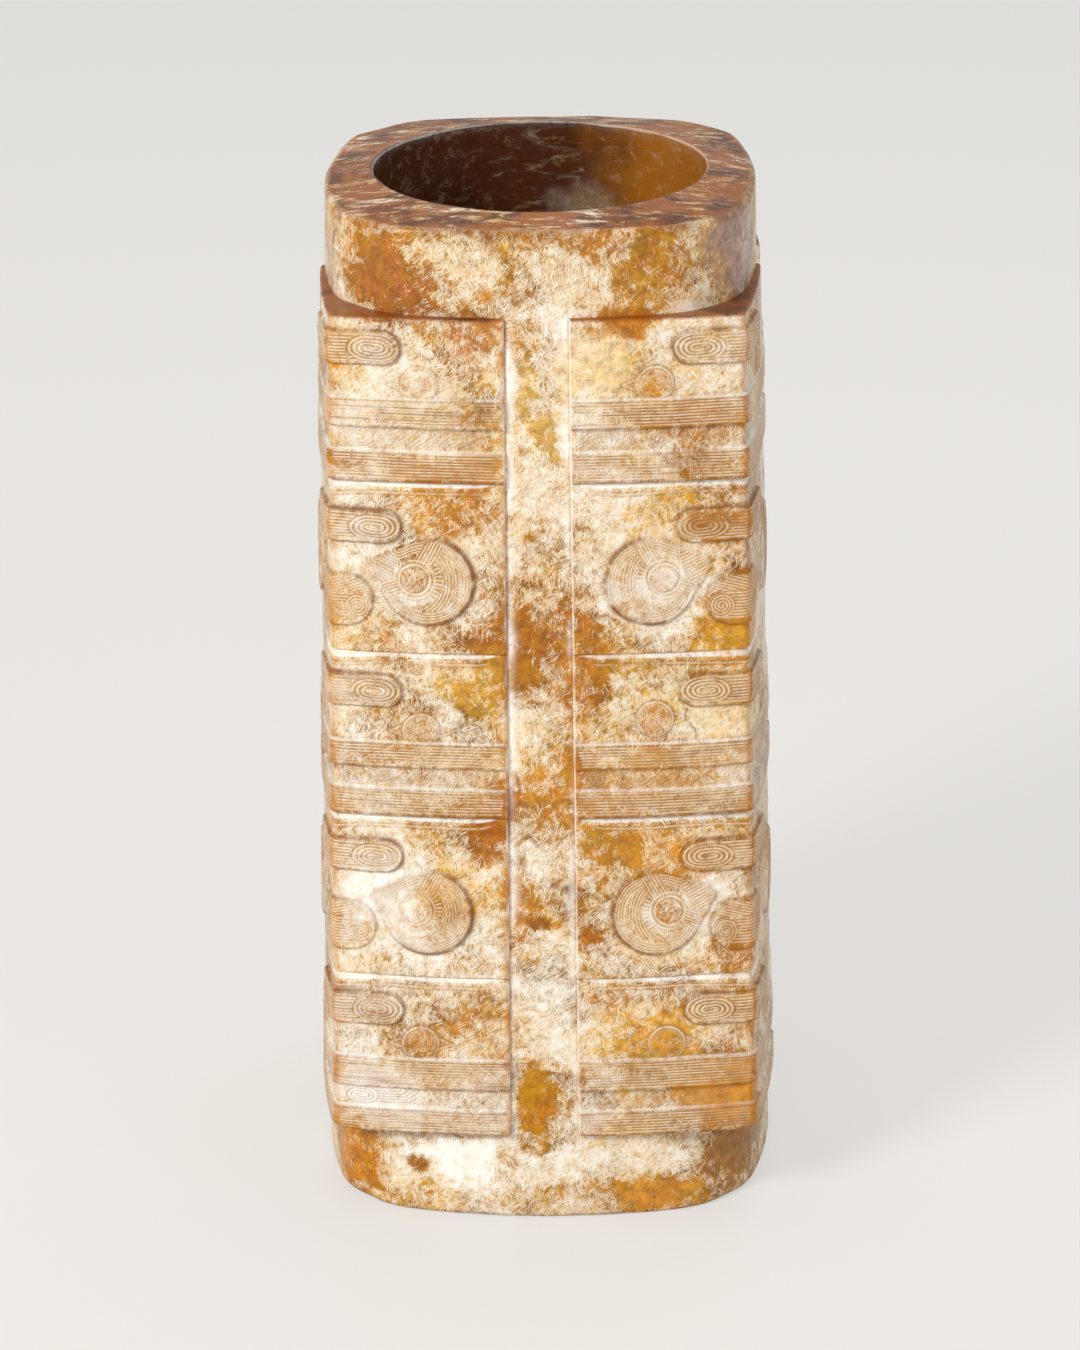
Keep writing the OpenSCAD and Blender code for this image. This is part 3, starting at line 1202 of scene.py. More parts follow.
@dataclass(frozen=True)
class TubeShaft:
    """The middle of the tube, which shows as the four channels and in the bore."""

    tube: BoredTube
    low: float
    high: float
    shown_half: float = 9.8
    shown_columns: int = 36
    hidden_columns: int = 24
    outer_step: float = 0.46
    bore_rows: int = 64
    channel_share: float = 0.098
    hidden_share: float = 0.01
    bore_start: float = 0.438
    bore_share: float = 0.56

    def angles(self) -> Array:
        """Directions of the columns: close together in the channels, far apart under the blocks."""
        half = math.radians(self.shown_half)
        shown = np.linspace(-half, half, self.shown_columns)
        hidden = np.linspace(half, math.pi / 2 - half, self.hidden_columns + 2)[1:-1]
        quarter = np.concatenate([shown, hidden])
        return np.concatenate([quarter + side * math.pi / 2 for side in range(4)])

    def skin(self) -> StoneSkin:
        """Works out the shaft's closed skin."""
        angles = self.angles()
        levels = seated(self.low, self.high, int((self.high - self.low) / self.outer_step))
        angle, z = np.meshgrid(angles, levels, indexing="ij")
        outer = self.tube.outside(angle, z)
        bore_levels = seated(self.high, self.low, self.bore_rows)
        bore_angle, bore_z = np.meshgrid(angles, bore_levels, indexing="ij")
        inner = self.tube.bore_wall(bore_angle, bore_z, np.zeros_like(bore_z))
        loop = np.concatenate([outer, inner], axis=1)
        marks = skin_marks(loop)
        side = np.abs((angle + math.pi / 4) % (math.pi / 2) - math.pi / 4)
        off_centre = np.sin(side) * np.hypot(outer[..., 0], outer[..., 1])
        edge_gap = self.tube.form.channel_half(z) - off_centre
        chalk = np.clip(0.5 + 0.8 * self.tube.noise.rough(outer + 3.0, 7.0, 3), 0, 1)
        spread = bell(np.maximum(edge_gap - 0.4, 0), 0.3 + 0.9 * chalk)
        marks[:, : len(levels), Mark.CHALK] = chalk * spread * smooth((edge_gap - 0.1) / 0.3)
        marks[:, : len(levels), Mark.AMBER] = 0.7 * bell(edge_gap, 0.22)
        return StoneSkin(
            points=loop,
            marks=marks,
            bake=self.bake_map(len(angles), len(levels)),
            around=True,
            flat_rows=(len(levels) - 1, len(levels)),
        )

    def bake_map(self, columns: int, outer_rows: int) -> BakeMap:
        """Lays the channels, the hidden spans and the bore side by side on the bake map.

        Args:
            columns: how many columns the skin has.
            outer_rows: how many of its rows are on the outside.

        Returns:
            The map from a face's place in the grid to its place on the bake map.
        """
        quarter = columns // 4
        shown = self.shown_columns - 1
        strip, hidden = self.channel_share, self.hidden_share
        last = outer_rows + self.bore_rows

        def bake(at_column: Array, at_row: Array, column: Array, row: Array) -> tuple[Array, Array]:
            side, place = at_column // quarter, at_column % quarter
            start = side * (strip + hidden)
            in_strip = start + 0.001 + (place + column) / shown * (strip - 0.002)
            behind = start + strip + (place - shown + column) / (quarter - shown) * hidden * 0.9
            outer_u = np.where(place < shown, in_strip, behind)
            outer_v = (at_row + row) / outer_rows * 0.99
            turn = self.bore_start + (at_column + column) / columns * self.bore_share
            bore_v = (at_row + row - outer_rows + 1) / (last - outer_rows + 1) * 0.99
            on_bore = at_row >= outer_rows - 1
            return np.where(on_bore, turn, outer_u), np.where(on_bore, bore_v, outer_v)

        return bake

    def dress(self, finish: bpy.types.Material) -> bpy.types.Object:
        """Makes the shaft and ties it to its solid."""
        piece = self.skin().build("channelled_tube_shaft")
        piece.data.materials.append(finish)
        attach(piece, "root")
        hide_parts("tube_shaft")
        return piece


@dataclass(frozen=True)
class CollarEdge:
    """How one end of the tube is rounded: its outer and bore edges and the fall between them."""

    outer_r: float
    bore_r: float
    fall: float


@dataclass(frozen=True)
class Collar:
    """One end of the tube, closed by a flat or sloping face with worn edges.

    The row nearest to the joint lies close_share of the side away from it, so that the joint's own
    flat face doesn't bend the shading of the rows beside it.
    """

    tube: BoredTube
    node: str
    low: float
    high: float
    edge: CollarEdge
    at_rim: bool
    columns: int = 560
    side_step: float = 0.42
    face_rows: int = 26
    arc_rows: int = 7
    wear_r: float = 38.0
    close_share: float = 0.002

    def skin(self) -> StoneSkin:
        """Works out the collar's closed skin, from its joint over its end face to the bore."""
        angles = np.arange(self.columns) / self.columns * 2 * math.pi
        end, joint = (self.high, self.low) if self.at_rim else (self.low, self.high)
        way = 1 if self.at_rim else -1
        outer_r, inner_r = self.edge.outer_r, self.edge.bore_r
        side_rows = int(abs(end - joint) / self.side_step)
        turn = np.linspace(0, math.pi / 2, self.arc_rows + 1)

        def ring(z: Union[float, Array], off: Union[float, Array]) -> Array:
            """One ring of places on the tube's skin, moved inwards."""
            level = np.zeros_like(angles) + z
            places = self.tube.outside(angles, level)
            radius = np.hypot(places[:, 0], places[:, 1])
            scale = (radius - off) / radius
            return np.stack([places[:, 0] * scale, places[:, 1] * scale, level], axis=-1)

        start = round_axis(self.wear_r, angles, end)
        noise = self.tube.noise
        worn_outer = outer_r * (1 + 0.35 * noise.rough(start, 9.0, 3))
        worn_inner = inner_r * (1 + 0.5 * noise.rough(start + 20.0, 7.0, 3))
        edge_z = end - way * (self.edge.fall + 0.05 * noise.rough(start + 40.0, 12.0, 2) + 0.05)
        rings = []
        side = np.linspace(0, 1, side_rows)
        side[1] = self.close_share
        for share in side:
            rings.append(ring(joint + (edge_z - way * worn_outer - joint) * share, 0.0))
        for angle in turn[1:]:
            level = edge_z - way * worn_outer * (1 - math.sin(angle))
            rings.append(ring(level, worn_outer * (1 - math.cos(angle))))
        shoulder = rings[-1]
        lip_z = end - way * 0.02
        lip = self.tube.bore_wall(angles, np.zeros_like(angles) + lip_z, worn_inner)
        for share in np.linspace(0, 1, self.face_rows)[1:]:
            row = shoulder + (lip - shoulder) * share
            dip = 0.035 * noise.rough(row * np.array([1.0, 1.0, 0.2]), 8.0, 3)
            row[:, 2] -= way * (0.05 + dip) * math.sin(math.pi * min(share, 0.98))
            rings.append(row)
        for angle in turn[1:]:
            level = lip_z - way * worn_inner * (1 - math.cos(angle))
            rings.append(self.tube.bore_wall(angles, level, worn_inner * (1 - math.sin(angle))))
        bore_top = lip_z - way * worn_inner
        for share in (*np.linspace(0, 1, side_rows // 2)[1:-1], 1 - self.close_share, 1.0):
            level = bore_top + (joint - bore_top) * share
            rings.append(self.tube.bore_wall(angles, level, np.zeros_like(angles)))
        loop = np.stack(rings, axis=1)
        marks = self.marks(loop, side_rows)
        rows = loop.shape[1]
        if not self.at_rim:
            loop, marks = loop[:, ::-1], marks[:, ::-1]
        return StoneSkin(
            points=loop,
            marks=marks,
            bake=self.bake_map(rows),
            around=True,
            flat_rows=(rows - 1, rows),
        )

    def marks(self, loop: Array, side_rows: int) -> Array:
        """Marks the worn edges, the end face and a painted highlight on the bore's edge.

        Args:
            loop: the collar's places.
            side_rows: how many rows its side has.

        Returns:
            The carving marks.
        """
        marks = skin_marks(loop)
        rows = np.arange(loop.shape[1])
        face_start = side_rows + self.arc_rows
        face_end = face_start + self.face_rows - 1
        outer = bell(rows - side_rows - self.arc_rows * 0.35, 3.6)
        worn = 0.6 + 0.5 * self.tube.noise.rough(loop[:, side_rows, :], 6.0, 3)
        marks[..., Mark.EDGE] = outer[None, :] * np.clip(worn, 0, 1)[:, None]
        on_face = smooth((rows - side_rows - 2) / 4) * smooth((face_end + self.arc_rows - 1 - rows) / 3)
        marks[..., Mark.SHELF] = on_face[None, :]
        # Chalk on the bore's rounded edge: painted highlight.
        lip = bell(rows - face_end - 3, 2.2)
        marks[..., Mark.CHALK] = 0.4 * lip[None, :]
        return marks

    def bake_map(self, rows: int) -> BakeMap:
        """Lays the ring out as four strips, one above the other.

        Args:
            rows: how many rows the skin has.

        Returns:
            The map from a face's place in the grid to its place on the bake map.
        """
        quarter = self.columns // 4
        levels = np.linspace(0, 1, rows + 1)

        def bake(at_column: Array, at_row: Array, column: Array, row: Array) -> tuple[Array, Array]:
            strip = at_column // quarter
            u = 0.005 + (at_column % quarter + column) / quarter * 0.99
            v = 0.005 + (strip + levels[at_row + row] * 0.97) / 4 * 0.99
            return u, v

        return bake

    def dress(self, finish: bpy.types.Material) -> bpy.types.Object:
        """Makes the collar and ties it to its solid."""
        piece = self.skin().build(f"polished_{self.node}")
        piece.data.materials.append(finish)
        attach(piece, "root")
        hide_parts(self.node)
        return piece


Input = Union[Socket, float, int, str, Sequence[float]]


class NodeSheet:
    """A short way to place shader nodes and join them."""

    def __init__(self, tree: bpy.types.NodeTree) -> None:
        """Keeps the tree that the nodes go into."""
        self.tree = tree

    def node(self, kind: str, inputs: dict[Union[int, str], Input], **settings: object) -> bpy.types.Node:
        """Places one node.

        Args:
            kind: the node's type.
            inputs: what goes into its sockets: a value, a screen colour or another node's output.
            **settings: the node's own settings.

        Returns:
            The node.
        """
        made = self.tree.nodes.new(kind)
        for name, value in settings.items():
            setattr(made, name, value)
        for key, value in inputs.items():
            if isinstance(value, bpy.types.NodeSocket):
                self.tree.links.new(value, made.inputs[key])
            else:
                made.inputs[key].default_value = linear(value) if isinstance(value, str) else value
        return made

    def math(self, operation: str, *values: Input) -> Socket:
        """Works out a number."""
        return self.node("ShaderNodeMath", dict(enumerate(values)), operation=operation).outputs[0]

    def times(self, first: Input, second: Input) -> Socket:
        """The product of two numbers."""
        return self.math("MULTIPLY", first, second)

    def plus(self, first: Input, second: Input) -> Socket:
        """The sum of two numbers."""
        return self.math("ADD", first, second)

    def minus(self, first: Input, second: Input) -> Socket:
        """What is left of the first number without the second."""
        return self.math("SUBTRACT", first, second)

    def most(self, first: Input, second: Input) -> Socket:
        """The larger of two numbers."""
        return self.math("MAXIMUM", first, second)

    def vector(self, operation: str, *values: Input) -> Socket:
        """Works out a vector."""
        made = self.node("ShaderNodeVectorMath", dict(enumerate(values)), operation=operation)
        return made.outputs["Vector"]

    def length(self, value: Input) -> Socket:
        """The length of a vector."""
        return self.node("ShaderNodeVectorMath", {0: value}, operation="LENGTH").outputs["Value"]

    def scaled(self, value: Input, scale: Input) -> Socket:
        """A vector times a number."""
        made = self.node("ShaderNodeVectorMath", {0: value, "Scale": scale}, operation="SCALE")
        return made.outputs["Vector"]

    def noise(
        self,
        place: Input,
        scale: Input,
        detail: float = 3.0,
        roughness: float = 0.55,
        distortion: float = 0.0,
    ) -> Socket:
        """A cloudy noise over a position.

        Args:
            place: the position in millimetres.
            scale: lumps per millimetre.
            detail: how many finer layers it has.
            roughness: how strong they are.
            distortion: how much it is stirred.

        Returns:
            The noise's value. Its node has a colour too.
        """
        inputs = {
            "Vector": place,
            "Scale": scale,
            "Detail": detail,
            "Roughness": roughness,
            "Distortion": distortion,
        }
        return self.node("ShaderNodeTexNoise", inputs).outputs[0]

    def ease(self, value: Input, low: Input, high: Input, start: Input = 0.0, end: Input = 1.0) -> Socket:
        """Maps a range to another with soft ends."""
        made = self.node(
            "ShaderNodeMapRange",
            {"Value": value, "From Min": low, "From Max": high, "To Min": start, "To Max": end},
            interpolation_type="SMOOTHSTEP",
        )
        return made.outputs["Result"]

    def blend(self, share: Input, first: Input, second: Input) -> Socket:
        """Blends two colours."""
        ends = {0: share, 6: first, 7: second}
        return self.node("ShaderNodeMix", ends, data_type="RGBA", clamp_factor=True).outputs[2]

    def choose(self, share: Input, first: Input, second: Input) -> Socket:
        """Goes from one vector to another."""
        ends = {0: share, 4: first, 5: second}
        return self.node("ShaderNodeMix", ends, data_type="VECTOR", factor_mode="UNIFORM").outputs[1]

    def group(self, tree: bpy.types.NodeTree, **inputs: Input) -> bpy.types.Node:
        """Places a node group, with its inputs by name."""
        named = {name.replace("_", " "): value for name, value in inputs.items()}
        return self.node("ShaderNodeGroup", named, node_tree=tree)


class EffectGroup:
    """A node group while it is built: its tree, its inputs and its outputs."""

    def __init__(self, name: str, inputs: dict[str, str], outputs: dict[str, str]) -> None:
        """Makes the empty group.

        Args:
            name: the group's name.
            inputs: socket type of each input.
            outputs: socket type of each output.
        """
        self.tree = bpy.data.node_groups.new(name, "ShaderNodeTree")
        for way, sockets in (("INPUT", inputs), ("OUTPUT", outputs)):
            for socket, kind in sockets.items():
                self.tree.interface.new_socket(name=socket, in_out=way, socket_type=f"NodeSocket{kind}")
        self.sheet = NodeSheet(self.tree)
        self.given = self.tree.nodes.new("NodeGroupInput").outputs
        self.result = self.tree.nodes.new("NodeGroupOutput")

    def put_out(self, **values: Socket) -> bpy.types.NodeTree:
        """Joins the results to the outputs and gives the finished tree."""
        for name, value in values.items():
            self.tree.links.new(value, self.result.inputs[name.replace("_", " ")])
        return self.tree


def drift_group() -> bpy.types.NodeTree:
    """A position that is pushed about by a noise, so that what follows curls."""
    made = EffectGroup(
        "Stone drift",
        {"Position": "Vector", "Lumps per mm": "Float", "Amount": "Float"},
        {"Position": "Vector"},
    )
    sheet, given = made.sheet, made.given
    stirred = sheet.noise(given["Position"], given["Lumps per mm"], 2.0).node.outputs["Color"]
    centred = sheet.vector("SUBTRACT", stirred, (0.5, 0.5, 0.5))
    moved = sheet.scaled(centred, given["Amount"])
    return made.put_out(Position=sheet.vector("ADD", given["Position"], moved))


def face_lay_group() -> bpy.types.NodeTree:
    """A position with its axes swapped, so that the first two lie in the face that holds it."""
    made = EffectGroup(
        "Lay of the face",
        {"Position": "Vector", "Shelf": "Float"},
        {"Position": "Vector"},
    )
    sheet, given = made.sheet, made.given
    x, y, z = sheet.node("ShaderNodeSeparateXYZ", {0: given["Position"]}).outputs
    ragged = sheet.noise(given["Position"], 0.7, 2.0)
    aside = sheet.times(sheet.minus(ragged, 0.5), 3.0)
    lead = sheet.minus(sheet.math("ABSOLUTE", x), sheet.math("ABSOLUTE", y))
    on_side = sheet.math("GREATER_THAN", sheet.plus(lead, aside), 0.0)
    front = sheet.node("ShaderNodeCombineXYZ", {0: x, 1: z, 2: y}).outputs[0]
    side = sheet.node("ShaderNodeCombineXYZ", {0: y, 1: z, 2: x}).outputs[0]
    upright = sheet.choose(on_side, front, side)
    on_shelf = sheet.math("GREATER_THAN", given["Shelf"], 0.5)
    return made.put_out(Position=sheet.choose(on_shelf, upright, given["Position"]))


def hair_group(drift: bpy.types.NodeTree) -> bpy.types.NodeTree:
    """Fine pale hairs that lie across one another in the face, as altered nephrite has.

    Every way that the hairs run has its own long narrow cells, one hair in each. Where one way
    is strong the others are weak, so that the hairs seem combed for some millimetres and then turn.

    Args:
        drift: the group that pushes a position about.

    Returns:
        The finished tree.
    """
    made = EffectGroup(
        "Combed hairs",
        {"Position": "Vector", "Density": "Float", "Hair width": "Float", "Hair length": "Float"},
        {"Hairs": "Float"},
    )
    sheet, given = made.sheet, made.given
    curled = sheet.group(drift, Position=given["Position"], Lumps_per_mm=0.3, Amount=1.7).outputs[0]
    cell = sheet.node("ShaderNodeCombineXYZ", {0: given["Hair length"], 1: given["Hair width"], 2: 1.0})
    hairs: Optional[Socket] = None
    for turn, ways in ((0.0, (58.0, 104.0, 22.0)), (40.0, (38.0, 80.0, 128.0))):
        moved = sheet.vector("ADD", given["Position"], (turn, -turn, 5.0))
        combed = sheet.noise(moved, 0.15, 1.0, 0.4).node.outputs["Color"]
        strengths = sheet.node("ShaderNodeSeparateColor", {0: combed}).outputs
        for number, way in enumerate(ways):
            laid = sheet.node(
                "ShaderNodeMapping",
                {"Vector": curled, "Rotation": (0.0, 0.0, math.radians(way)), "Scale": cell.outputs[0]},
                vector_type="TEXTURE",
            )
            found = sheet.node(
                "ShaderNodeTexVoronoi",
                {"Vector": laid.outputs[0], "Scale": 1.0, "Randomness": 1.0},
                voronoi_dimensions="2D",
            ).outputs
            chance = sheet.node("ShaderNodeSeparateColor", {0: found["Color"]}).outputs
            strong = sheet.ease(strengths[number], 0.4, 0.58, 0.25, 1.0)
            there = sheet.minus(sheet.times(given["Density"], strong), chance[0])
            body = sheet.ease(found["Distance"], 0.36, 0.14)
            seen = sheet.times(body, sheet.ease(there, -0.08, 0.16))
            seen = sheet.times(seen, sheet.ease(chance[1], 0.0, 1.0, 0.55, 1.0))
            hairs = seen if hairs is None else sheet.most(hairs, seen)
    return made.put_out(Hairs=hairs)


def patch_group() -> bpy.types.NodeTree:
    """One soft ragged egg at a place, with a size along each axis: a blotch of the stone, and in the bore a
    pool of painted light and a paler spot.
    """
    made = EffectGroup(
        "Stone patch",
        {"Position": "Vector", "Middle": "Vector", "Reach": "Vector"},
        {"Share": "Float"},
    )
    sheet, given = made.sheet, made.given
    off = sheet.vector("DIVIDE", sheet.vector("SUBTRACT", given["Position"], given["Middle"]), given["Reach"])
    return made.put_out(Share=sheet.ease(sheet.length(off), 1.2, 0.45))


def carved_group() -> bpy.types.NodeTree:
    """The carving's marks on the mesh, among them painted shade and painted highlights, broken up a little by
    noise.
    """
    made = EffectGroup(
        "Carved marks",
        {"Position": "Vector"},
        {mark.name.capitalize(): "Float" for mark in Mark if mark is not Mark.SPARE},
    )
    sheet, given = made.sheet, made.given
    marks = sheet.node("ShaderNodeAttribute", {}, attribute_type="GEOMETRY", attribute_name=CARVING)
    parts = sheet.node("ShaderNodeSeparateColor", {0: marks.outputs["Color"]}).outputs
    grain = sheet.noise(given["Position"], 0.9, 4.0, 0.65)
    broken = sheet.ease(grain, 0.3, 0.52, 0.35, 1.0)
    patchy_brown = sheet.ease(sheet.noise(given["Position"], 0.35, 4.0, 0.7), 0.3, 0.6, 0.25, 1.0)
    tints = sheet.node("ShaderNodeAttribute", {}, attribute_type="GEOMETRY", attribute_name=TINTING)
    tint_parts = sheet.node("ShaderNodeSeparateColor", {0: tints.outputs["Color"]}).outputs
    return made.put_out(
        Groove=sheet.times(parts[0], broken),
        Edge=sheet.times(parts[1], patchy_brown),
        Raised=parts[2],
        Shelf=marks.outputs["Alpha"],
        Lined=tint_parts[0],
        Amber=sheet.times(tint_parts[1], sheet.ease(patchy_brown, 0.25, 1.0, 0.6, 1.0)),
        Chalk=sheet.times(tint_parts[2], broken),
    )


@dataclass(frozen=True)
class StonePatch:
    """A blotch of colour at one place, in millimetres; most are the stone's own, and a few are painted light
    or shade, noted where they stand.

    pale says how much the blotch adds to the pale fibres over it, or takes away.
    """

    tone: str
    middle: Triple
    reach: Triple
    strength: float = 0.9
    pale: float = -1.1
    ragged: bool = True


CREAM = "#DDBB85"
STONE_PATCHES: tuple[StonePatch, ...] = (
    StonePatch("#C99A58", (9.0, -40.0, 173.0), (15.0, 12.0, 9.0), 0.75, pale=-0.3),
    StonePatch("#B97C36", (13.0, -37.0, 180.0), (12.0, 9.0, 3.5), 0.8, pale=-0.9),
    StonePatch(CREAM, (-12.0, -39.0, 174.0), (7.0, 8.0, 4.5), 0.5, pale=0.3),
    StonePatch("#B27338", (-24.5, -35.0, 171.5), (9.5, 13.0, 8.0), 0.9, pale=-1.15),
    StonePatch("#B98232", (20.0, -36.0, 172.5), (7.0, 11.0, 7.5), 0.8, pale=-1.1),
    StonePatch("#B29A93", (36.0, -24.0, 175.0), (9.0, 15.0, 11.0), 0.85),
    StonePatch("#F4D6A2", (10.0, -39.0, 158.0), (7.0, 8.0, 8.5), 0.9, pale=-0.45),
    StonePatch("#BC7A30", (15.0, -38.0, 166.0), (7.5, 8.0, 3.5), 0.8, pale=-1.0),
    StonePatch("#DDBB72", (-1.0, -39.0, 152.5), (2.4, 5.0, 5.5), 0.85, pale=-0.8),
    StonePatch("#D8B268", (2.2, -39.0, 144.0), (2.6, 5.0, 6.5), 0.85, pale=-1.2),
    StonePatch("#C98B52", (-9.5, -38.0, 163.0), (6.0, 7.0, 4.0), 0.75, pale=-0.7),
    StonePatch(CREAM, (-25.0, -38.0, 150.5), (14.0, 8.0, 10.0), 0.6, pale=1.1),
    StonePatch(CREAM, (12.0, -38.0, 149.0), (6.0, 7.0, 6.0), 0.5, pale=0.9),
    StonePatch("#B07434", (23.5, -38.0, 149.3), (9.0, 8.0, 2.8), 0.75, pale=-1.1),
    StonePatch("#B2743A", (-15.0, -38.0, 139.6), (10.0, 8.0, 3.0), 0.75, pale=-0.9),
    StonePatch("#B5762F", (31.0, -36.0, 129.3), (8.0, 9.0, 3.4), 0.75, pale=-0.8),
    StonePatch(CREAM, (-30.0, -37.0, 137.0), (6.0, 8.0, 4.5), 0.5, pale=0.9),
    StonePatch(CREAM, (-14.0, -38.0, 124.5), (5.0, 7.0, 4.5), 0.5, pale=0.9),
    # Amber over the left side face and the left ends of the front: partly the stone's tan, partly painted
    # shade.
    StonePatch("#B8712A", (-43.5, -6.0, 92.0), (5.5, 44.0, 130.0), 0.85, pale=-0.9, ragged=False),
    StonePatch("#BC7C34", (28.0, -37.0, 147.0), (9.0, 8.0, 7.0), 0.75, pale=-0.9),
    StonePatch("#B87A38", (-13.0, -38.0, 133.5), (9.5, 7.0, 6.5), 0.8, pale=-0.9),
    StonePatch(CREAM, (-31.0, -36.0, 118.0), (7.0, 9.0, 13.0), 0.5, pale=0.6),
    StonePatch(CREAM, (15.0, -38.0, 123.0), (13.0, 8.0, 8.0), 0.5, pale=0.9),
    StonePatch("#D9A040", (33.5, -34.0, 112.5), (7.5, 9.0, 10.0), 0.9, pale=-1.0),
    StonePatch("#B07634", (6.5, -39.0, 115.5), (5.5, 7.0, 6.5), 0.75, pale=-0.9),
    StonePatch("#B2742E", (-3.5, -39.0, 108.0), (9.0, 7.0, 9.0), 0.85, pale=-1.25),
    StonePatch("#D0A045", (-13.0, -38.0, 102.0), (9.0, 7.0, 7.0), 0.8, pale=-0.9),
    StonePatch(CREAM, (-30.0, -37.0, 101.0), (7.0, 9.0, 5.0), 0.6, pale=0.9),
    StonePatch("#BA7C34", (8.0, -38.0, 104.0), (5.0, 7.0, 12.0), 0.75, pale=-0.95),
    StonePatch("#C08A40", (8.0, -38.0, 86.0), (4.0, 7.0, 9.0), 0.6, pale=-0.45),
    StonePatch(CREAM, (-2.0, -39.0, 93.0), (4.5, 6.0, 7.0), 0.5, pale=0.7),
    StonePatch("#E7C27A", (30.0, -37.0, 97.0), (9.0, 9.0, 9.0), 0.85, pale=-0.45),
    StonePatch("#BA8038", (-21.0, -38.0, 88.0), (6.0, 7.0, 3.0), 0.7, pale=-0.6),
    StonePatch("#D8A24C", (22.0, -38.0, 85.0), (16.0, 8.0, 6.0), 0.7, pale=-0.6),
    StonePatch("#C4883A", (4.0, -39.0, 79.5), (15.0, 7.0, 8.0), 0.75, pale=-1.0),
    StonePatch("#B26A2C", (-8.0, -38.0, 75.0), (4.5, 6.0, 8.5), 0.75, pale=-1.25),
    StonePatch(CREAM, (-29.0, -37.0, 66.0), (10.0, 9.0, 16.0), 0.5, pale=1.1),
    StonePatch("#D5963A", (20.0, -38.0, 70.0), (9.0, 8.0, 8.0), 0.85, pale=-0.9),
    StonePatch("#C88E3E", (12.5, -38.0, 69.0), (6.0, 7.0, 6.0), 0.8, pale=-0.9),
    StonePatch("#BF8440", (-4.0, -39.0, 60.0), (3.5, 6.0, 8.5), 0.75, pale=-0.9),
    StonePatch(CREAM, (2.0, -39.0, 52.0), (3.5, 6.0, 3.5), 0.5, pale=0.7),
    StonePatch(CREAM, (-19.0, -38.0, 55.0), (7.0, 8.0, 6.0), 0.5, pale=0.6),
    StonePatch("#C0762F", (9.5, -38.0, 53.0), (4.5, 6.0, 4.5), 0.7, pale=-1.2),
    StonePatch("#C07F33", (35.0, -35.0, 52.5), (6.0, 9.0, 10.0), 0.85, pale=-0.9),
    StonePatch("#C08B4A", (-12.0, -38.0, 37.0), (7.5, 7.0, 12.0), 0.7, pale=-0.8),
    StonePatch(CREAM, (-28.0, -38.0, 24.0), (9.0, 8.0, 6.5), 0.6, pale=1.5),
    StonePatch(CREAM, (1.0, -39.0, 33.0), (5.0, 6.0, 5.0), 0.5, pale=0.6),
    StonePatch(CREAM, (-28.0, -37.0, 79.0), (7.0, 8.0, 7.0), 0.5, pale=0.9),
    StonePatch(CREAM, (29.0, -37.0, 36.0), (6.0, 7.0, 4.0), 0.5, pale=0.8),
    StonePatch("#DFAC50", (18.0, -38.0, 35.0), (13.0, 8.0, 7.0), 0.8, pale=-0.5),
    StonePatch("#DC9A3A", (31.0, -35.0, 24.0), (10.0, 11.0, 8.0), 0.9, pale=-1.25),
    StonePatch("#C48A2E", (-1.0, -40.0, 21.5), (5.0, 6.0, 8.0), 0.95, pale=-1.1),
    StonePatch("#CE8A28", (-34.0, -28.0, 10.0), (8.5, 15.0, 11.0), 0.95, pale=-1.2),
    StonePatch(CREAM, (-16.0, -37.0, 10.0), (10.0, 8.0, 6.0), 0.6, pale=1.9),
    StonePatch(CREAM, (3.0, -39.0, 10.0), (10.0, 8.0, 5.0), 0.5, pale=1.5),
    StonePatch(CREAM, (17.0, -38.0, 12.0), (9.0, 8.0, 4.5), 0.6, pale=0.8),
    StonePatch("#A57B48", (35.0, -27.0, 11.0), (8.0, 17.0, 9.0), 0.85),
    StonePatch("#DFA04A", (20.0, -38.0, 3.5), (13.0, 6.0, 4.5), 0.8),
    # Pale lilac-grey over the right side face: painted sheen where it catches light at a grazing angle.
    StonePatch("#C2A08C", (42.0, 0.0, 110.0), (6.0, 34.0, 70.0), 0.45, pale=-0.1),
    StonePatch("#C98B3B", (-30.0, 34.0, 140.0), (14.0, 12.0, 26.0), 0.8),
    StonePatch("#D9A34A", (16.0, 39.0, 60.0), (20.0, 9.0, 22.0), 0.75),
    StonePatch("#B07A42", (-39.0, 4.0, 62.0), (8.0, 15.0, 20.0), 0.5, pale=-0.35),
    StonePatch("#8E5A24", (-4.3, -40.0, 173.4), (1.5, 4.0, 1.7), 0.9, pale=-1.0, ragged=False),
    StonePatch("#A86E24", (-22.5, -37.0, 9.5), (2.2, 5.0, 2.0), 0.9, pale=-1.6, ragged=False),
    StonePatch("#96632A", (-0.5, -40.0, 56.5), (2.6, 5.0, 1.6), 0.8, pale=-0.9, ragged=False),
)


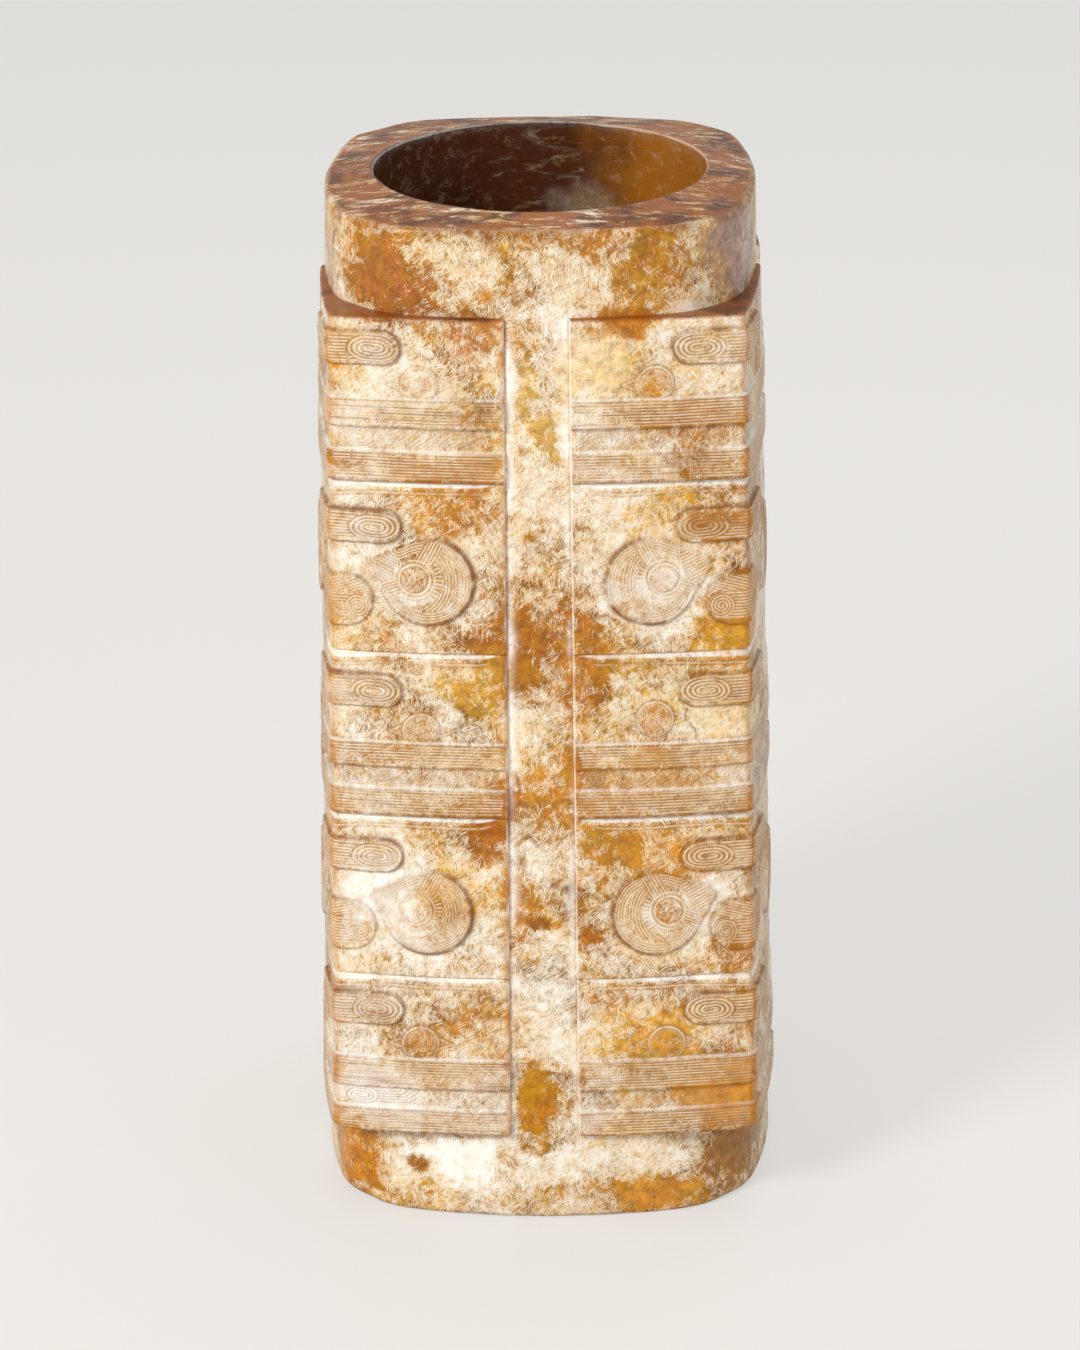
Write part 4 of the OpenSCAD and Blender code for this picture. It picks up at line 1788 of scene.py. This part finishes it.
@dataclass(frozen=True)
class JadeFinish:
    """Polished nephrite, honey to caramel brown, felted over with pale altered fibres.

    The bore's painted shade begins at the first distance from the axis in bore_reach and is full
    at the second.
    """

    name: str
    deep: str = "#824E12"
    tan: str = "#C08A34"
    honey: str = "#E0AC44"
    mauve: str = "#A87640"
    felt: str = "#FFFEF8"
    felt_warm: str = "#FCEECF"
    felt_shade: str = "#ECD5A6"
    # Brown of the EDGE mark: partly stain, partly painted shade.
    stain_and_shade: str = "#824B10"
    # Amber of the AMBER mark: the stone's own in eyes, painted shade at channel edges, partly painted shade
    # at corners.
    amber: str = "#C47C20"
    line: str = "#A66B22"
    shelf: str = "#904C08"
    shelf_dark: str = "#521F00"
    # Painted shade inside the bore, and a painted pool of light on its far wall.
    bore: str = "#48200A"
    bore_light: str = "#A5641A"
    bore_reach: tuple[float, float] = (29.4, 29.05)
    vein: str = "#7E4320"
    worked: str = "#A76C1E"
    pale_bias: float = 0.26
    hair_sizes: tuple[tuple[float, float], ...] = ((0.16, 1.9), (0.22, 3.8))
    roughness: tuple[float, float] = (0.3, 0.46)
    coat: float = 0.1
    coat_roughness: float = 0.16
    ior: float = 1.5
    specular: float = 0.2
    bump: float = 0.3


@dataclass(frozen=True)
class FinishSheet:
    """What the steps of one finish share.

    place is the position in millimetres, ragged the same pushed about, and marks the carving's.
    """

    sheet: NodeSheet
    finish: JadeFinish
    place: Socket
    ragged: Socket
    marks: Sequence[Socket]


class StoneShop:
    """Builds the shared effects once and makes each finish of the stone from them."""

    def __init__(self) -> None:
        """Builds the node groups."""
        self.drift = drift_group()
        self.lay = face_lay_group()
        self.hair = hair_group(self.drift)
        self.patch = patch_group()
        self.carved = carved_group()

    def material(self, finish: JadeFinish) -> bpy.types.Material:
        """Makes one finish.

        Args:
            finish: its colours and values.

        Returns:
            The material.
        """
        material = bpy.data.materials.new(finish.name)
        material.use_nodes = True
        tree = material.node_tree
        tree.nodes.clear()
        sheet = NodeSheet(tree)
        here = sheet.node("ShaderNodeTexCoord", {}).outputs["Object"]
        place = sheet.scaled(here, 1 / MM)
        ragged = sheet.group(self.drift, Position=place, Lumps_per_mm=0.09, Amount=11.0).outputs[0]
        ragged = sheet.group(self.drift, Position=ragged, Lumps_per_mm=0.45, Amount=5.0).outputs[0]
        marks = sheet.group(self.carved, Position=place).outputs
        on = FinishSheet(sheet, finish, place, ragged, marks)
        ground, pale = self.ground_colour(on)
        colour, felted, line_tone = self.felted_colour(on, ground, pale)
        colour = self.marked_colour(on, colour, line_tone)

        shader = sheet.node(
            "ShaderNodeBsdfPrincipled",
            {
                "Base Color": colour,
                "Roughness": sheet.ease(felted, 0.0, 1.0, *finish.roughness),
                "IOR": finish.ior,
                "Specular IOR Level": finish.specular,
                "Coat Weight": finish.coat,
                "Coat Roughness": finish.coat_roughness,
            },
        )
        pits = sheet.noise(place, 2.4, 3.0, 0.6)
        bump = sheet.node(
            "ShaderNodeBump", {"Strength": finish.bump, "Distance": 0.1 * MM, "Height": pits}
        )
        tree.links.new(bump.outputs["Normal"], shader.inputs["Normal"])
        output = sheet.node("ShaderNodeOutputMaterial", {"Surface": shader.outputs["BSDF"]})
        output.is_active_output = True
        return material

    def ground_colour(self, on: FinishSheet) -> tuple[Socket, Socket]:
        """The stone under the fibres: caramel and honey clouds, mauve stains and its blotches.

        Args:
            on: what the finish's steps share.

        Returns:
            The colour, and how much pale alteration covers it.
        """
        sheet, finish, place, ragged = on.sheet, on.finish, on.place, on.ragged
        clouds = sheet.noise(ragged, 0.1, 5.0, 0.6)
        colour = sheet.blend(sheet.ease(clouds, 0.34, 0.62), finish.deep, finish.tan)
        sweet = sheet.noise(sheet.vector("ADD", ragged, (71.0, 13.0, 5.0)), 0.055, 3.0)
        honeyed = sheet.ease(sweet, 0.5, 0.64)
        colour = sheet.blend(sheet.times(honeyed, 0.8), colour, finish.honey)
        bruise = sheet.noise(sheet.vector("ADD", ragged, (17.0, 91.0, 33.0)), 0.075, 4.0)
        bruised = sheet.ease(bruise, 0.56, 0.68, 0.0, 0.7)
        colour = sheet.blend(bruised, colour, finish.mauve)
        altered = sheet.noise(sheet.vector("ADD", ragged, (3.0, 57.0, 29.0)), 0.07, 4.0, 0.6)
        pale = sheet.ease(altered, 0.36, 0.63, 0.1, 0.88)
        near = sheet.group(self.drift, Position=place, Lumps_per_mm=0.7, Amount=1.6).outputs[0]
        for patch in STONE_PATCHES:
            spot = ragged if patch.ragged else near
            share = sheet.group(self.patch, Position=spot, Middle=patch.middle, Reach=patch.reach)
            share = sheet.times(share.outputs[0], patch.strength)
            colour = sheet.blend(share, colour, patch.tone)
            change = sheet.times(share, patch.pale)
            pale = sheet.plus(pale, change)
        pale = sheet.math("MINIMUM", sheet.most(pale, -0.9), 1.8)
        mottle = sheet.noise(place, 0.55, 4.0, 0.62)
        shade = sheet.ease(mottle, 0.3, 0.7, 0.66, 1.12)
        turn = sheet.ease(sheet.noise(ragged, 0.3, 3.0, 0.6), 0.3, 0.7, 0.486, 0.505)
        tinted = sheet.node(
            "ShaderNodeHueSaturation",
            {"Hue": turn, "Saturation": 1.05, "Value": shade, "Color": colour},
        ).outputs[0]
        split = sheet.noise(ragged, 0.17, 3.0)
        cracks = sheet.math("ABSOLUTE", sheet.minus(split, 0.5))
        vein = sheet.ease(cracks, 0.011, 0.0, 0.0, 0.6)
        return sheet.blend(vein, tinted, finish.vein), pale

    def felted_colour(self, on: FinishSheet, ground: Socket, pale: Socket) -> tuple[Socket, Socket, Socket]:
        """Lays the pale fibres over the ground.

        Args:
            on: what the finish's steps share.
            ground: the stone's own colour.
            pale: how altered it is.

        Returns:
            The colour, how much of it is fibre, and the colour that a fine cut line has there:
            pale on brown stone and brown on pale stone.
        """
        sheet, finish, place, marks = on.sheet, on.finish, on.place, on.marks
        lined, shelf = marks[Mark.LINED], marks[Mark.SHELF]
        laid = sheet.group(self.lay, Position=place, Shelf=shelf).outputs[0]
        clumps = sheet.noise(laid, 0.55, 5.0, 0.7, 0.4)
        uneven = sheet.times(sheet.minus(clumps, 0.5), 2.6)
        worked = sheet.math("MULTIPLY_ADD", lined, 0.16, sheet.times(marks[Mark.RAISED], 0.1))
        cover = sheet.minus(sheet.plus(pale, finish.pale_bias), worked)
        clumped = sheet.plus(cover, uneven)
        mass = sheet.ease(clumped, 0.5, 1.7, 0.0, 0.86)
        density = sheet.ease(clumped, -0.2, 1.0, 0.0, 0.9)
        down, locks = (
            sheet.group(self.hair, Position=laid, Density=density, Hair_width=width, Hair_length=length)
            for width, length in finish.hair_sizes
        )
        hairs = sheet.most(sheet.times(down.outputs[0], 0.75), locks.outputs[0])
        handled = sheet.ease(sheet.noise(place, 0.12, 4.0, 0.65), 0.38, 0.62, 0.14, 0.58)
        carved = sheet.times(marks[Mark.RAISED], handled)
        browner = sheet.times(lined, sheet.ease(clumped, 1.5, 0.3, 0.3, 0.85))
        carved = sheet.most(carved, browner)
        chalky = sheet.blend(sheet.ease(clumped, 1.0, 1.9), finish.felt_shade, finish.felt)
        colour = sheet.blend(mass, ground, chalky)
        colour = sheet.blend(carved, colour, finish.worked)
        faint = sheet.math("MULTIPLY_ADD", lined, -0.5, 0.94)
        seen = sheet.times(hairs, faint)
        felted = sheet.most(mass, seen)
        veil = sheet.blend(sheet.ease(clumped, 0.5, 1.35), finish.felt_warm, finish.felt)
        line_tone = sheet.blend(sheet.ease(clumped, 1.0, 1.6, 0.0, 0.75), veil, finish.line)
        return sheet.blend(seen, colour, veil), felted, line_tone

    def marked_colour(self, on: FinishSheet, colour: Socket, line_tone: Socket) -> Socket:
        """Adds what the carving and the bore change: brown edges and amber ends, partly painted shade, pale
        lines, painted highlights, and painted shade and light in the bore.

        Args:
            on: what the finish's steps share.
            colour: the felted stone.
            line_tone: the colour of the fine cut lines.

        Returns:
            The colour.
        """
        sheet, finish, place, marks = on.sheet, on.finish, on.place, on.marks
        pulled = sheet.vector("MULTIPLY", place, (0.4, 1.5, 1.5))
        streaks = sheet.noise(pulled, 0.38, 6.0, 0.72, 0.6)
        top = sheet.times(marks[Mark.SHELF], sheet.ease(streaks, 0.63, 0.5, 0.1, 0.93))
        # Shelves below about 170 mm take the full shelf brown: painted shadow under the upper collar.
        level = sheet.node("ShaderNodeSeparateXYZ", {0: place}).outputs[2]
        hidden = sheet.times(marks[Mark.SHELF], sheet.ease(level, 172.0, 169.0, 0.0, 0.94))
        top = sheet.most(top, hidden)
        dark = sheet.ease(sheet.noise(place, 0.11, 5.0, 0.65, 0.5), 0.45, 0.6)
        brown = sheet.blend(dark, finish.shelf, finish.shelf_dark)
        colour = sheet.blend(top, colour, brown)
        # Inside the bore: painted shade, a pool of painted light where light falls on the far wall, and a
        # paler spot in the shade.
        flat = sheet.vector("MULTIPLY", place, (1.0, 1.0, 0.0))
        inside = sheet.ease(sheet.length(flat), *finish.bore_reach)
        stirred = sheet.group(self.drift, Position=place, Lumps_per_mm=0.16, Amount=13.0).outputs[0]
        lit = sheet.group(self.patch, Position=stirred, Middle=(27.0, 13.0, 174.0), Reach=(22.0, 26.0, 24.0))
        warm = sheet.blend(lit.outputs[0], finish.bore, finish.bore_light)
        paler_spot = sheet.group(self.patch, Position=stirred, Middle=(8.0, 28.0, 164.0), Reach=(8.0, 8.0, 8.0))
        bare = sheet.math("MULTIPLY_ADD", paler_spot.outputs[0], -0.22, 1.0)
        deep = sheet.times(inside, sheet.ease(streaks, 0.7, 0.5, 0.75, 0.99))
        deep = sheet.times(deep, bare)
        colour = sheet.blend(deep, colour, warm)
        # Amber: the stone's own in eyes, painted shade at channel edges, partly painted shade at corners.
        colour = sheet.blend(sheet.times(marks[Mark.AMBER], 0.85), colour, finish.amber)
        # Brown edges: partly stain, partly painted shade.
        colour = sheet.blend(sheet.times(marks[Mark.EDGE], 0.88), colour, finish.stain_and_shade)
        colour = sheet.blend(sheet.times(marks[Mark.GROOVE], 0.85), colour, line_tone)
        # Chalk white: pale alteration, and painted highlights on lips, band tops, channel edges and the
        # bore's edge.
        return sheet.blend(sheet.times(marks[Mark.CHALK], 0.88), colour, finish.felt)


@dataclass(frozen=True)
class PhotoCamera:
    """The camera that took the photograph, worked out from the stone's outline."""

    away: float = 859.0
    above: float = 421.0
    pitch: float = 0.370
    aside: float = 0.98
    turn: float = -0.026
    roll: float = -0.011
    focal_px: float = 5156.0
    long_side_px: float = 1350.0
    sensor_mm: float = 36.0

    def place(self) -> bpy.types.Object:
        """Makes the camera and gives it to the scene."""
        data = bpy.data.cameras.new("photo_camera")
        data.sensor_width = self.sensor_mm
        data.lens = self.focal_px / self.long_side_px * self.sensor_mm
        data.clip_start, data.clip_end = 0.05, 50.0
        camera = bpy.data.objects.new("photo_camera", data)
        bpy.context.scene.collection.objects.link(camera)
        turned = Matrix.Rotation(-self.turn, 3, "Z")
        right = turned @ Vector((1, 0, 0))
        ahead = turned @ Vector((0, math.cos(self.pitch), -math.sin(self.pitch)))
        upward = turned @ Vector((0, math.sin(self.pitch), math.cos(self.pitch)))
        side = right * math.cos(self.roll) + upward * math.sin(self.roll)
        top = upward * math.cos(self.roll) - right * math.sin(self.roll)
        spot = turned @ Vector((-self.aside, -self.away, self.above)) * MM
        camera.matrix_world = Matrix(
            (
                (side.x, top.x, -ahead.x, spot.x),
                (side.y, top.y, -ahead.y, spot.y),
                (side.z, top.z, -ahead.z, spot.z),
                (0, 0, 0, 1),
            )
        )
        bpy.context.scene.camera = camera
        return camera


@dataclass(frozen=True)
class SoftLamp:
    """One large soft lamp, in metres and watts."""

    name: str
    spot: Triple
    size: float
    power: float
    tint: str = "#FFFFFF"

    def place(self, target: Vector) -> None:
        """Hangs the lamp and turns it to the object."""
        data = bpy.data.lights.new(self.name, "AREA")
        data.shape, data.size, data.energy = "DISK", self.size, self.power
        data.color = linear(self.tint)[:3]
        lamp = bpy.data.objects.new(self.name, data)
        lamp.location = self.spot
        lamp.rotation_mode = "QUATERNION"
        lamp.rotation_quaternion = (target - Vector(self.spot)).to_track_quat("-Z", "Y")
        bpy.context.scene.collection.objects.link(lamp)


@dataclass(frozen=True)
class Studio:
    """The plain pale floor, the soft lamps and the sky that fills the shade."""

    floor_tone: str = "#E4E1DC"
    floor_half: float = 4.0
    floor_glow: float = 0.6
    gloss_share: float = 0.15
    sky_strength: float = 0.39
    seen_tone: str = "#F1EFEC"
    aim: Triple = (0.0, 0.0, 0.09)
    lamps: tuple[SoftLamp, ...] = (
        SoftLamp("key_lamp", (-0.75, -0.85, 0.85), 0.42, 12.6, "#FFFDF9"),
        SoftLamp("fill_lamp", (0.95, -0.75, 0.55), 0.9, 3.5, "#FBFAFF"),
        SoftLamp("top_lamp", (0.1, 0.35, 1.1), 0.9, 3.6),
    )

    def build(self) -> None:
        """Makes everything that the object stands on and is lit by."""
        half = self.floor_half
        mesh = bpy.data.meshes.new("studio_floor")
        corners = [(-half, -half, 0), (half, -half, 0), (half, half, 0), (-half, half, 0)]
        mesh.from_pydata(corners, [], [(0, 1, 2, 3)])
        floor = bpy.data.objects.new("studio_floor", mesh)
        bpy.context.scene.collection.objects.link(floor)
        finish = bpy.data.materials.new("pale_floor")
        finish.use_nodes = True
        tree = finish.node_tree
        tree.nodes.clear()
        sheet = NodeSheet(tree)
        shader = sheet.node("ShaderNodeBsdfPrincipled", {"Base Color": self.floor_tone, "Roughness": 0.6})
        glow = sheet.node("ShaderNodeEmission", {"Color": self.seen_tone, "Strength": 1.0})
        rays = sheet.node("ShaderNodeLightPath", {}).outputs
        gloss = sheet.times(rays["Is Glossy Ray"], self.gloss_share)
        seen = sheet.most(rays["Is Camera Ray"], gloss)
        share = sheet.times(seen, self.floor_glow)
        mixed = sheet.node("ShaderNodeMixShader", {0: share, 1: shader.outputs[0], 2: glow.outputs[0]})
        sheet.node("ShaderNodeOutputMaterial", {"Surface": mixed.outputs[0]})
        floor.data.materials.append(finish)
        for lamp in self.lamps:
            lamp.place(Vector(self.aim))
        self.sky()

    def sky(self) -> None:
        """Lights the shade evenly, and shows as a pale backdrop to the camera and in gloss."""
        world = bpy.data.worlds.new("studio_sky")
        world.use_nodes = True
        bpy.context.scene.world = world
        tree = world.node_tree
        tree.nodes.clear()
        sheet = NodeSheet(tree)
        light = sheet.node(
            "ShaderNodeBackground", {"Color": (1, 1, 1, 1), "Strength": self.sky_strength}
        )
        seen = sheet.node("ShaderNodeBackground", {"Color": self.seen_tone, "Strength": 1.0})
        rays = sheet.node("ShaderNodeLightPath", {}).outputs
        share = sheet.most(rays["Is Camera Ray"], rays["Is Transmission Ray"])
        gloss = sheet.times(rays["Is Glossy Ray"], self.gloss_share)
        share = sheet.most(share, gloss)
        mixed = sheet.node(
            "ShaderNodeMixShader", {0: share, 1: light.outputs[0], 2: seen.outputs[0]}
        )
        sheet.node("ShaderNodeOutputWorld", {"Surface": mixed.outputs[0]})


CORNER_NAMES = ("back_right", "back_left", "front_left", "front_right")
TIER_COUNT = 5


def tiers_of_frame() -> list[Tier]:
    """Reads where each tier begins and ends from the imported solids."""
    tiers = []
    for number in range(1, TIER_COUNT + 1):
        low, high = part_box(f"tier_{number}_{CORNER_NAMES[0]}")
        tiers.append(Tier(number, low[2] / MM, high[2] / MM, is_top=number == TIER_COUNT))
    return tiers


def report(piece: bpy.types.Object) -> None:
    """Logs what was made."""
    log.info("%s: %d faces", piece.name, len(piece.data.polygons))


def main() -> None:
    """Builds the stone over its frame, then the studio round it."""
    logging.basicConfig(level=logging.INFO, format="%(name)s: %(message)s")
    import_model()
    bpy.context.scene.view_settings.view_transform = "Standard"

    form = StoneForm()
    noise = StoneNoise(STONE_SEED)
    shop = StoneShop()
    collar_jade = shop.material(JadeFinish("collar_jade"))
    tube_jade = shop.material(JadeFinish("tube_jade"))
    block_jade = shop.material(JadeFinish("block_jade"))

    tiers = tiers_of_frame()
    for tier in tiers:
        for corner, corner_name in enumerate(CORNER_NAMES):
            node = f"tier_{tier.number}_{corner_name}"
            report(CornerBlock(tier, corner, node, form, noise).dress(block_jade))
    tube = BoredTube(form, noise)
    low, high = tiers[0].low, tiers[-1].high
    report(TubeShaft(tube, low, high).dress(tube_jade))
    rim = CollarEdge(outer_r=1.3, bore_r=0.45, fall=form.rim_fall)
    foot = CollarEdge(outer_r=0.9, bore_r=0.4, fall=0.0)
    upper = Collar(tube, "upper_collar", high, form.height, rim, at_rim=True)
    lower = Collar(tube, "lower_collar", 0.0, low, foot, at_rim=False)
    for collar in (upper, lower):
        report(collar.dress(collar_jade))

    Studio().build()
    PhotoCamera().place()


if __name__ == "__main__":
    main()
